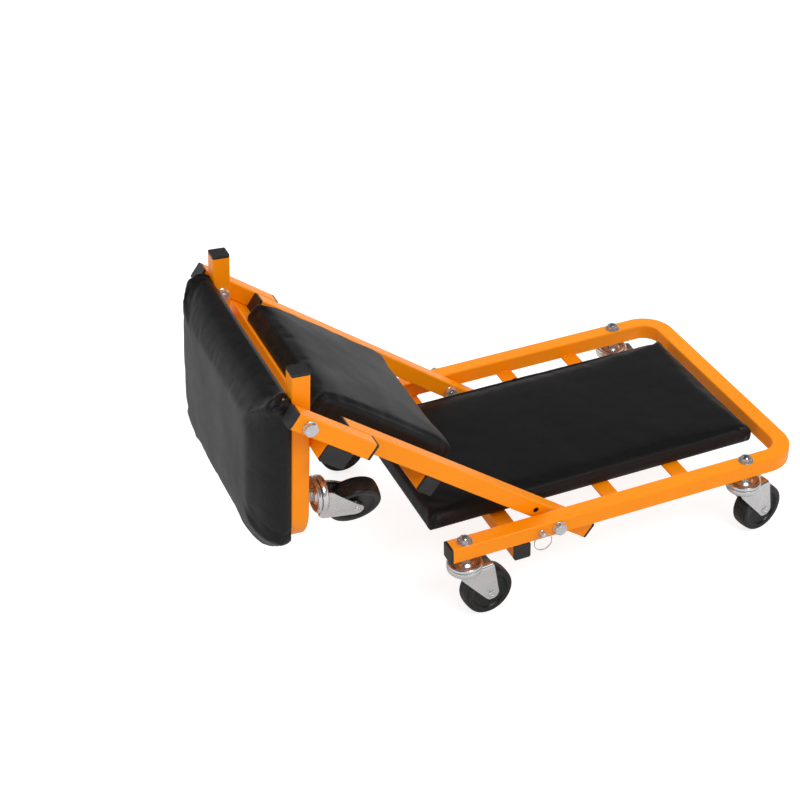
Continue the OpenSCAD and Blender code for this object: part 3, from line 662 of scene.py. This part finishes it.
def groove(points, normals, path, width, depth):
    """A fold pressed in along a path on the cover, with a lip raised on each side of it."""
    path = [points[np.argmin(np.linalg.norm(points - np.array(p, float), axis=1))]
            for p in path]
    best = np.full(len(points), 1e9)
    along = np.zeros(len(points))
    side = np.zeros(len(points))
    legs, lip_off, lip_high = len(path) - 1, 1.9, 0.45
    for i, (a, b) in enumerate(zip(path, path[1:])):
        share, away = line_shares(points, a, b)
        nearer = away < best
        nearest = a + share[:, None]*(b - a)
        across = np.cross(normals, (b - a)/np.linalg.norm(b - a))
        best = np.where(nearer, away, best)
        along = np.where(nearer, (i + share)/legs, along)
        side = np.where(nearer, np.einsum("ij,ij->i", points - nearest, across), side)
    fade = np.clip(1.15 - along**2, 0, 1)
    cut = np.exp(-(best/width)**2)
    lip = np.exp(-((np.abs(side) - lip_off*width)/width)**2)*np.exp(-(best/(3*width))**2)
    return normals*((lip_high*lip - cut)*fade*depth)[:, None]


def finish_cover(points, normals, data):
    """Folds, waves of the foam, the rolled end, and the hem folded under the board."""
    long_wave, short_wave = 62.0, 27.0
    upper = np.clip((points[:, 2] - 3.0)/data["board"], 0, 1)
    wave = np.array([noise.noise(Vector(p)/long_wave) + 0.5*noise.noise(Vector(p)/short_wave)
                     for p in points])
    moved = points + normals*(data["wave"]*wave*upper)[:, None]
    for centre, reach, height in data["bulges"]:
        away = np.linalg.norm(points - np.array(centre, float), axis=1)
        moved += normals*(height*upper*np.exp(-(away/reach)**2))[:, None]
    for *path, width, depth in data["pleats"]:
        moved += groove(points, normals, path, width, depth)
    for *path, width, depth in data["creases"]:
        moved += groove(points, normals, path, width, depth)*0.8
    if "roll" in data:
        end, length, drop = data["roll"]
        share = np.clip((end + length - points[:, 0])/length, 0, None)**2
        board, full = data["board"], data["height"] + data["crown"]
        moved[:, 2] -= drop*share*np.clip((points[:, 2] - board)/(full - board), 0, 1)
    # The hem lies flat under the board's rim; inside it the form stays hidden in the board
    depth = inset_of(points, data["plan"])
    under = points[:, 2] < 1.0
    moved[under, 2] = np.where(depth[under] < HEM, HEM_Z, HIDDEN_Z)
    return moved


def cushion(name, data):
    """One padded cushion: the foam's form, swollen cloth, then folds and hem."""
    shape = Shape().add(cushion_start(data))
    mesh = bpy.data.meshes.new(name + "_pad")
    mesh.from_pydata([p*MM for p in shape.points], [], shape.faces)
    obj = bpy.data.objects.new(name + "_pad", mesh)
    bpy.context.scene.collection.objects.link(obj)
    remesh = obj.modifiers.new("voxels", "REMESH")
    remesh.mode = "VOXEL"
    remesh.voxel_size = data["voxel"]*MM
    obj.data = evaluated(obj)
    obj.modifiers.remove(remesh)
    points = swell_cover(obj, data)
    obj.data.vertices.foreach_set("co", points.astype(np.float32).ravel())
    obj.data.update()
    obj.vertex_groups.clear()
    split = obj.modifiers.new("split", "SUBSURF")
    split.levels = split.render_levels = 1
    obj.data = evaluated(obj)
    obj.modifiers.remove(split)
    obj.data.update()
    normals = np.array([v.normal for v in obj.data.vertices], float)
    points = finish_cover(coordinates(obj.data)/MM, normals, data)
    obj.data.vertices.foreach_set("co", (points*MM).astype(np.float32).ravel())
    obj.data.transform(data["at"])
    obj.data.shade_smooth()
    obj.data.materials.clear()
    obj.data.materials.append(LOOKS["black_vinyl"])
    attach(obj, data["body"])
    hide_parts(name + "_cushion")


def staple(at):
    """A staple's crown: a flat wire with its ends bent up into the board."""
    path = [(-5.0, 0, 1.5), (-4.9, 0, 0.2), (-4.4, 0, -0.25), (4.4, 0, -0.25), (4.9, 0, 0.2),
            (5.0, 0, 1.5)]
    points, faces = swept(path, 0.55, 6)
    return [at @ Vector(p) for p in points], faces


def staples(name, data):
    """A row of staples through the hem, where no tube or strap covers it."""
    shape = Shape()
    plan = data["plan"]
    spacing, back, stray, clear = 26.0, 14.0, 2, 6
    wander = np.random.default_rng(7)
    for a, b in zip(plan, plan[1:] + plan[:1]):
        a, b = Vector(a), Vector(b)
        along = (b - a).normalized()
        inward = Vector((-along.y, along.x))
        count = max(1, int(((b - a).length - 2*back)/spacing))
        for k in range(count):
            offset = ((b - a).length - spacing*(count - 1))/2 + spacing*k
            aside, deeper = wander.uniform(-stray, stray), wander.uniform(-stray, stray)
            spot = a + along*(offset + aside) + inward*(back + deeper)
            covered = any(low < spot.x < high for low, high in data["free"])
            if covered or (name == "head" and abs(spot.y) > LEG_Y - HALF - clear):
                continue
            turn = math.atan2(along.y, along.x) + wander.uniform(-0.25, 0.25)
            shape.add(staple(move(spot.x, spot.y, HEM_Z) @ Matrix.Rotation(turn, 4, "Z")))
    piece(name + "_staples", shape, data["at"], data["body"], "spring_steel")


# Fasteners

def bolt_head():
    """Washer and chamfered hexagon head, standing on z = 0."""
    wide = BOLT_AF/2 + 1.5
    shape = Shape().add(lathe([(0, 0), (wide - 0.3, 0), (wide, 0.3), (wide, WASHER_T - 0.3),
                               (wide - 0.3, WASHER_T), (0, WASHER_T)]))
    shape.add(hexagon(BOLT_AF, BOLT_HEAD, 0.0, (False, True)), move(z=WASHER_T))
    dish = WASHER_T + BOLT_HEAD
    shape.add(lathe([(0, dish - 1), (5.6, dish - 1), (5.6, dish + 0.15), (4.6, dish - 0.25),
                     (0, dish - 0.25)]))
    return shape.points, shape.faces


def lock_nut(height):
    """Nut with a flange below and the bolt's thread end in it, from z = 0 up."""
    shape = Shape().add(hexagon(BOLT_AF, height - WASHER_T, 0.0, (False, True)),
                        move(z=WASHER_T))
    wide = BOLT_AF/2 + 1
    shape.add(lathe([(0, 0), (wide, 0), (wide, WASHER_T*0.5), (wide - 1, WASHER_T),
                     (0, WASHER_T)]))
    shape.add(thread_end(height - 1.0, height + 0.8, BOLT_R))
    return shape.points, shape.faces


def thread_end(low, high, radius):
    """The last turns of a threaded end with its chamfer."""
    pitch, depth, chamfer = 0.8, 0.45, 1.1
    profile = [(0, low)]
    z = low
    while z < high - 1.2*pitch:
        profile += [(radius - depth, z), (radius, z + pitch/2)]
        z += pitch
    profile += [(radius - depth, z), (radius - chamfer, high), (0, high)]
    return lathe(profile, 40)


def hinge_hardware(name, at, body, outer, inner, gap):
    """Bolts, nuts and spacers of one hinge, on both sides."""
    bolts, nuts, spacers = Shape(), Shape(), Shape()
    ring = BOLT_R + 4.5
    for side in (FLIP, Matrix()):
        bolts.add(bolt_head(), side @ move(y=outer) @ ALONG_Y)
        nuts.add(lock_nut(NUT_H),
                 side @ move(y=inner) @ ALONG_Y @ Matrix.Rotation(math.pi, 4, "X"))
        spacers.add(lathe([(BOLT_R, 0), (ring - 0.4, 0), (ring, 0.4), (ring, gap - 0.4),
                           (ring - 0.4, gap), (BOLT_R, gap)], closed=True),
                    side @ move(y=outer - TUBE - gap) @ ALONG_Y)
    piece(name + "_bolt_heads", bolts, at, body, "zinc", name + "_bolts")
    piece(name + "_lock_nuts", nuts, at, body, "zinc", name + "_nuts")
    piece(name + "_spacers", spacers, at, body, "zinc", name + "_washers")


def upper_race():
    """Stem, dished upper race and kingpin of one caster, z = 0 in the middle of its tube."""
    low = SKIRT_LOW - 2.6
    return [(0, low), (6.5, low), (8, low + 0.8), (8, low + 2.4), (6, low + 2.5), (6, RACE_LOW),
            (RACE_R - 2.2, RACE_LOW), (RACE_R - 0.5, RACE_LOW + 0.5), (RACE_R, RACE_LOW + 2.2),
            (RACE_R - 0.7, RACE_LOW + 4.1), (RACE_R - 2.3, RACE_LOW + 5.2),
            (RACE_R - 4.2, RACE_LOW + 5.0), (RACE_R - 5.8, RACE_LOW + 3.8),
            (RACE_R - 8.0, RACE_LOW + 3.2), (14.0, RACE_LOW + 3.4), (12.6, RACE_LOW + 4.6),
            (11.0, RACE_TOP), (STEM_R, RACE_TOP), (STEM_R, -HALF)]


def caster_mounts():
    """Stems and nuts of all casters; those of the base show their nut on the rail."""
    stems, nuts = Shape(), Shape()
    for x, sign in [(x, sign) for x in BASE_CASTER_X for _, sign in SIDES]:
        spot = move(x, sign*BASE_Y, 0)
        stems.add(lathe(upper_race() + [(STEM_R, HALF), (STEM_R, HALF + 1), (0, HALF + 1)], 72),
                  spot)
        stems.add(thread_end(HALF + 2, STEM_UP, STEM_R), spot)
        wide = STEM_AF/2 + 4
        nuts.add(lathe([(STEM_R, 0), (wide - 0.3, 0), (wide, 0.4), (wide, 0.8),
                        (wide - 1.2, WASHER_T), (STEM_R, WASHER_T)], closed=True),
                 spot @ move(z=HALF))
        nuts.add(hexagon(STEM_AF, TOP_NUT_H, STEM_R, (False, True)),
                 spot @ move(z=HALF + WASHER_T) @ Matrix.Rotation(0.3*x, 4, "Z"))
        nuts.add(hexagon(STEM_AF, STEM_NUT_H, STEM_R, (True, True)), spot @ move(z=RACE_TOP))
    piece("base_stems", stems, BASE, "base", "zinc", "base_caster_stems", material=SHEET)
    piece("base_stem_nuts", nuts, BASE, "base", "zinc", "base_caster_nuts")
    stems, nuts = Shape(), Shape()
    for _, sign in SIDES:
        spot = move(HEAD_CASTER_X, sign*LEG_Y, 0)
        stems.add(lathe(upper_race() + [(STEM_R, HALF - 0.5), (0, HALF - 0.5)], 72), spot)
        nuts.add(hexagon(STEM_AF, STEM_NUT_H, STEM_R, (True, True)), spot @ move(z=RACE_TOP))
    piece("head_stems", stems, HEAD, "headrest", "zinc", "head_caster_stems", material=SHEET)
    piece("head_stem_nuts", nuts, HEAD, "headrest", "zinc", "head_caster_nuts")


def screw_heads(name, at, body, height, places):
    """Pan heads with a small recess, and their shanks up into the boards."""
    shape = Shape()
    dome = [(0, 0.5), (5.0, 0.5), (4.9, -0.6), (4.2, -1.7), (3.0, -2.3), (1.9, -2.5),
            (1.5, -1.4), (0, -1.2)]
    for x, y in places:
        shape.add(lathe(dome, 32), move(x, y, height))
        shape.add(lathe([(0, 0), (2.5, 0), (2.5, 12), (0, 12.5)], 16), move(x, y, height))
    piece(name + "_screw_heads", shape, at, body, "zinc", name + "_screws")


# Locks

def lock_pin(name, side):
    """A pin with its turned knob outside the rail and its rod through it."""
    outer = BASE_Y + HALF + 0.1
    knob = [(0, -2), (3.9, -2), (3.9, 0.05), (KNOB_R - 0.5, 0.1), (KNOB_R, 0.6),
            (KNOB_R, 1.5), (KNOB_R - 0.7, 2.1), (KNOB_R - 0.9, 2.7), (KNOB_R - 0.4, 3.5),
            (KNOB_R, 4.6), (KNOB_R, 6.6), (KNOB_R - 0.5, 8.2), (KNOB_R - 1.4, 9.3),
            (1.8, 9.85), (0, KNOB_L)]
    rod = [(radius, y - outer) for radius, y in (
        (0, 186.8), (3.6, 186.8), (4, 187.4), (4, 190.6), (7.3, 190.6), (7.5, 191),
        (7.5, 192.7), (7.3, 193.1), (4, 193.1))] + [(4, -1), (0, -1)]
    spot = side @ move(-LOCK_X, outer, 0) @ ALONG_Y
    pin = Shape().add(lathe(knob, 40), spot).add(lathe(rod, 40), spot)
    piece("pin_" + name, pin, BASE, "lock_" + name, "zinc", "lock_pin_" + name)


def split_ring(name, side):
    """A ring of nearly two turns that hangs from the knob."""
    steps, radius = 96, 0.6*RING_WIRE
    coil = [(RING_R*math.cos(2*math.pi*k/steps)*(1 + 0.006*(k > steps)),
             0.62*RING_WIRE*(-1 + 2*min(1, max(0, k/steps - 0.42))),
             RING_R*math.sin(2*math.pi*k/steps)) for k in range(2*steps - 3)]
    drop = -math.sqrt(RING_R**2 - KNOB_R**2/2)
    ring = Shape().add(swept(coil, radius, 8),
                       side @ move(-LOCK_X, BASE_Y + HALF + KNOB_L/2, drop))
    piece("split_ring_" + name, ring, BASE, "ring_" + name, "zinc", "pull_ring_" + name)


def lock_spring(name, side):
    """The spring inside the rail, which the pin's collar presses against the outer wall."""
    steps, count = 14, 70
    length = SPRING_OUT - SPRING_IN - 2*SPRING_WIRE
    helix = [(SPRING_R*math.cos(2*math.pi*k/steps), SPRING_IN + SPRING_WIRE + length*k/count,
              SPRING_R*math.sin(2*math.pi*k/steps)) for k in range(count + 1)]
    spring = Shape().add(swept(helix, SPRING_WIRE, 6), side @ move(-LOCK_X))
    obj = piece("spring_" + name, spring, BASE, "base", "spring_steel", "lock_spring_" + name)
    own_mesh(obj)


def lock_parts():
    for name, side in (("near", FLIP), ("far", Matrix())):
        lock_pin(name, side)
        split_ring(name, side)
        lock_spring(name, side)


# Casters

def caster_frame(name):
    """The caster's own frame: its swivel axis, z = 0 in the middle of its tube."""
    swivel, roll = joint("swivel_" + name), joint("roll_" + name)
    up = Vector(swivel["axis"]).normalized()
    origin = Vector(swivel["pos_m"]) - FORK_TOP*MM*up
    out = Vector(roll["pos_m"]) - origin
    out = (out - up*out.dot(up)).normalized()
    turn = Matrix((out, up.cross(out), up)).transposed()
    return Matrix.Translation(origin) @ turn.to_4x4()


def leg_edges(z):
    """Front and back edge of a fork leg at height z: straight sides and a round end."""
    touch_x, touch_z, wider = 26.04, -89.93, 2
    front = np.interp(-z, (31, 39, 43, 47, -touch_z), (-13, -13, -12, -9.6, touch_x))
    back = np.interp(-z, (31, 37, -AXLE_Z), (36.7, 38.7, TRAIL + wider + LEG_R))
    half = math.sqrt(max(0.0, LEG_R**2 - (z - AXLE_Z)**2))
    if z < touch_z:
        front = TRAIL - half
    if z < AXLE_Z:
        back = TRAIL + wider + half
    return float(front), float(back)


def fork_leg(sign):
    """A pressed leg: bent down from the crown plate, its front part following the race."""
    bend, press, rib_height, rib_width = 4.5, 0.30, 0.9, 4.5
    mid_top = CROWN_TOP - FORK_T/2
    path = [(0.0, mid_top), (6.0, mid_top)]
    path += [(FORK_MID - bend + bend*math.sin(a), mid_top - bend + bend*math.cos(a))
             for a in (math.radians(15*k) for k in range(7))]
    low = AXLE_Z - LEG_R*0.999
    start = path[-1][1]
    path += [(FORK_MID, start + (AXLE_Z - start)*k/18) for k in range(1, 19)]
    path += [(FORK_MID, AXLE_Z + (low - AXLE_Z)*math.sin(math.radians(9*k)))
             for k in range(1, 11)]
    grid = []
    for y, z in path:
        front, back = leg_edges(min(z, CROWN_TOP))
        row = []
        down = max(0.0, min(1.0, (CROWN_TOP - z)/(CROWN_TOP - AXLE_Z)))
        crease = 9.0 + 12.0*down
        for k in range(15):
            x = front + (back - front)*k/14
            inward = press*(math.sqrt((crease - x)**2 + 9) + crease - x)/2*(1 - down)**0.5
            share = min(1.0, y/FORK_MID)
            rib = (rib_height*math.exp(-((x - crease - 9)/rib_width)**2)
                   * math.sin(math.pi*min(1, down*1.15)))
            row.append((x, sign*(y - inward*share + max(0, rib)*share), z))
        grid.append(row)
    return sheet(grid if sign > 0 else [row[::-1] for row in grid], FORK_T)


def fork_shape():
    """Lower race, crown and both legs."""
    top = RACE_LOW - 0.5
    ring = [(6.1, top), (RACE_R - 2.4, top), (RACE_R - 0.6, top - 0.5), (RACE_R, top - 1.6),
            (RACE_R, top - 5.0), (RACE_R - 0.6, top - 7.4), (RACE_R - 2.0, top - 9.2),
            (RACE_R - 4.4, SKIRT_LOW), (6.1, SKIRT_LOW)]
    shape = Shape().add(lathe(ring, 72, closed=True))
    for sign in (-1, 1):
        shape.add(fork_leg(sign))
    return shape


def axle_shape():
    """Axle with a riveted head at each end."""
    rivet = [(0, 0.9), (2.0, 0.9), (2.5, 1.9), (3.4, 2.5), (4.6, 2.2), (5.7, 1.2), (6.0, 0),
             (AXLE_R, 0), (AXLE_R, -6), (0, -6)]
    shape = Shape().add(lathe([(0, -FORK_MID), (AXLE_R, -FORK_MID), (AXLE_R, FORK_MID),
                               (0, FORK_MID)], 40), ALONG_Y)
    for side in (FLIP, Matrix()):
        shape.add(lathe(rivet, 40), side @ move(y=FORK_OUT) @ ALONG_Y)
    return shape


def wheel_shape():
    """Solid wheel: crowned tread with ring lines, dished faces and a hub."""
    half = [(AXLE_R + 0.1, HUB_HALF), (7.8, HUB_HALF), (8.8, HUB_HALF - 0.5),
            (9.4, HUB_HALF - 2.0), (10.2, 9.6), (12.0, 9.0), (18.0, 8.8), (24.5, 9.2),
            (26.4, 10.0), (27.4, 11.8), (28.4, 12.6), (29.4, 12.9), (33.6, WHEEL_HALF),
            (35.3, 12.5), (36.3, 11.4), (36.6, 10.6), (36.1, 10.3), (36.1, 10.0),
            (36.75, 9.7), (37.1, 7.4), (37.3, 5.2), (36.95, 5.0), (36.95, 4.8),
            (37.35, 4.6), (WHEEL_R, 1.5)]
    return Shape().add(lathe(half + [(r, -y) for r, y in half[::-1]], 96, closed=True),
                       ALONG_Y)


def casters():
    fork, axle, wheel = fork_shape(), axle_shape(), wheel_shape()
    for place in ("open", "closed", "head"):
        for side, _ in SIDES:
            name = place + "_" + side
            at = caster_frame(name)
            hub = at @ move(TRAIL*MM, 0, AXLE_Z*MM)
            piece("caster_fork_" + name, fork, at, "caster_" + name, "zinc", "fork_" + name,
                  material=SHEET, sharp=40)
            piece("caster_axle_" + name, axle, hub, "caster_" + name, "zinc", "axle_" + name)
            piece("caster_wheel_" + name, wheel, hub, "roller_" + name, "wheel_black",
                  "wheel_" + name, sharp=24)


# Welds

def bead(a, b, radius):
    """A weld bead from a to b: overlapping ripples, tapered at its ends."""
    a, b = Vector(a), Vector(b)
    length, spacing, ripple_length = (b - a).length, 0.6, 2.6
    count = int(length/spacing)
    path = [a.lerp(b, k/count) for k in range(count + 1)]

    def size(i):
        ripple = abs(math.sin(math.pi*i*length/count/ripple_length))
        taper = min(1.0, 0.35 + i*0.22, 0.35 + (count - i)*0.22)
        return radius*taper*(0.82 + 0.22*ripple)
    return swept(path, size, 8)


def welds():
    """Beads where tubes and straps meet."""
    base, middle = Shape(), Shape()
    radius, thin = 2.1, 1.5

    def across(shape, x, y, s, short=0.0):
        shape.add(bead((x, s*(y - HALF + WELD_IN), WELD_LOW),
                       (x, s*(y + HALF - WELD_OUT - short), WELD_LOW), radius))

    for _, s in SIDES:
        for edge in (-HALF - WELD_OFF, HALF + WELD_OFF):
            across(base, CROSS_X + edge, BASE_Y, s)
        for x in STRAP_X:
            for y, z, size in ((BASE_Y - HALF - 0.4, STRAP_Z + 0.1, 1.7),
                               (BASE_Y - HALF - 0.2, -HALF + 0.2, thin)):
                base.add(bead((x - WELD_HALF, s*y, z), (x + WELD_HALF, s*y, z), size))
        near_stop = STOP_X + STOP_HALF + WELD_OFF
        far_stop = STOP_X - STOP_HALF - WELD_OFF
        for x, y in ((near_stop, RAIL_Y), (near_stop, ARM_Y + 2), (far_stop, ARM_Y + 2)):
            across(middle, x, y, s)
        for edge in (-HALF - WELD_OFF, HALF + WELD_OFF):
            across(middle, MIDDLE_CROSS_X + edge, RAIL_Y, s, 1.0)
        for z in (HALF - 0.5, -HALF + 0.5):
            middle.add(bead((-RAIL_END + 1, s*(RAIL_Y + HALF), z),
                            (-ARM_END - 1, s*(RAIL_Y + HALF), z), thin))
    piece("base_welds", base, BASE, "base", "orange_paint", sharp=60)
    piece("middle_welds", middle, MIDDLE, "middle", "orange_paint", sharp=60)


# Stage

def aim(obj, place, forward, roll=0.0):
    """Puts a lamp or camera at a place, looking along forward."""
    forward = Vector(forward).normalized()
    right = forward.cross(Vector((0, 0, 1))).normalized()
    up = right.cross(forward)
    r = right*math.cos(roll) + up*math.sin(roll)
    u = up*math.cos(roll) - right*math.sin(roll)
    obj.matrix_world = (Matrix.Translation(place)
                        @ Matrix((r, u, -forward)).transposed().to_4x4())


def camera():
    """The photograph's view, fitted for a square frame."""
    yaw, pitch, roll = (math.radians(a) for a in (21.5992, -34.1375, -1.8202))
    from_fold = Vector((-0.87403, -1.834, 1.46253))
    data = bpy.data.cameras.new("camera")
    data.sensor_width = 36.0
    data.lens = 75.197
    obj = bpy.data.objects.new("camera", data)
    bpy.context.scene.collection.objects.link(obj)
    aim(obj, fold_at + from_fold,
        (math.sin(yaw)*math.cos(pitch), math.cos(yaw)*math.cos(pitch), math.sin(pitch)), roll)
    bpy.context.scene.camera = obj


def lamp(name, place, target, size, power):
    data = bpy.data.lights.new(name, "AREA")
    data.shape = "RECTANGLE"
    data.size, data.size_y = size
    data.energy = power
    obj = bpy.data.objects.new(name, data)
    bpy.context.scene.collection.objects.link(obj)
    aim(obj, Vector(place), Vector(target) - Vector(place))
    obj.visible_camera = False
    return obj


def by_ray(tree, lit, seen, mirrored):
    """A value for the light that falls, one for the camera and one for reflections."""
    path = tree.nodes.new("ShaderNodeLightPath")
    last = lit
    for ray, level in (("Is Glossy Ray", mirrored), ("Is Camera Ray", seen)):
        node = tree.nodes.new("ShaderNodeMix")
        for key, value in (("A", last), ("B", level)):
            if isinstance(value, bpy.types.NodeSocket):
                tree.links.new(value, node.inputs[key])
            else:
                node.inputs[key].default_value = value
        tree.links.new(path.outputs[ray], node.inputs["Factor"])
        last = node.outputs["Result"]
    return last


def floor_sheet():
    """A plain pale floor that still takes the shadow."""
    mesh = bpy.data.meshes.new("floor")
    far = 14.0
    mesh.from_pydata([(-far, -far, 0), (far, -far, 0), (far, far, 0), (-far, far, 0)], [],
                     [[0, 1, 2, 3]])
    floor = bpy.data.objects.new("floor", mesh)
    bpy.context.scene.collection.objects.link(floor)
    look = Look("floor", Roughness=0.9, Specular_IOR_Level=0.1, Emission_Color=(1, 1, 1, 1))
    look.wire(Base_Color=by_ray(look.tree, 0.86, 0.4, 0.6),
              Emission_Strength=by_ray(look.tree, 0.0, 0.8, 0.0))
    mesh.materials.append(look.material)


def surroundings():
    """White for the camera, a soft even light, and a room that darkens upwards in
    reflections."""
    world = bpy.data.worlds.new("surroundings")
    bpy.context.scene.world = world
    world.use_nodes = True
    tree = world.node_tree
    sky = tree.nodes["Background"]
    sky.inputs["Color"].default_value = (1, 1, 1, 1)
    direction = tree.nodes.new("ShaderNodeSeparateXYZ")
    tree.links.new(tree.nodes.new("ShaderNodeTexCoord").outputs["Generated"],
                   direction.inputs["Vector"])
    room = tree.nodes.new("ShaderNodeMapRange")
    room.interpolation_type = "SMOOTHSTEP"
    tree.links.new(direction.outputs["Z"], room.inputs["Value"])
    for key, value in (("From Min", -0.02), ("From Max", 0.4), ("To Min", 1.1),
                       ("To Max", 0.06)):
        room.inputs[key].default_value = value
    tree.links.new(by_ray(tree, 0.72, 1.0, room.outputs["Result"]), sky.inputs["Strength"])


def studio():
    """Floor, surroundings and three soft lamps, shown without a film look."""
    bpy.context.scene.view_settings.view_transform = "Standard"
    floor_sheet()
    surroundings()
    lamp("key", (0.6, -2.4, 3.0), (0, 0, 0.2), (1.6, 1.2), 48)
    lamp("back", (0.6, 3.2, 2.0), (0, 0, 0.2), (4.0, 1.8), 62).visible_glossy = False
    lamp("left", (-3.2, 0.6, 1.6), (-0.2, 0, 0.25), (1.6, 1.6), 12)


camera()
dress_cad()
for pad_name, pad_data in CUSHIONS.items():
    cushion(pad_name, pad_data)
    staples(pad_name, pad_data)
hinge_hardware("fold", BASE, "base", BASE_Y + HALF, RAIL_Y - HALF - NUT_PLAY, FOLD_GAP)
hinge_hardware("head", MIDDLE @ move(x=-SPAN*MM), "middle", ARM_Y + HALF,
               LEG_Y - HALF - NUT_PLAY, HEAD_GAP)
caster_mounts()
screw_heads("base", BASE, "base", -HALF,
            [(x, s*BASE_SCREW_Y) for x in STRAP_X for _, s in SIDES])
screw_heads("middle", MIDDLE, "middle", -HALF - TUBE,
            [(x, s*MIDDLE_SCREW_Y) for x in (STOP_X, MIDDLE_CROSS_X) for _, s in SIDES])
screw_heads("head", HEAD, "headrest", -HALF,
            [(x, s*LEG_Y) for x in HEAD_SCREW_X for _, s in SIDES])
lock_parts()
casters()
for cad_node in ("base_end_caps", "base_cross_caps", "middle_rail_caps", "side_arm_caps",
                 "stop_tube_caps", "middle_cross_caps", "head_frame_caps"):
    soften(cad_node, CAP_EDGE)
soften("base_straps", STRAP_EDGE)
welds()
studio()
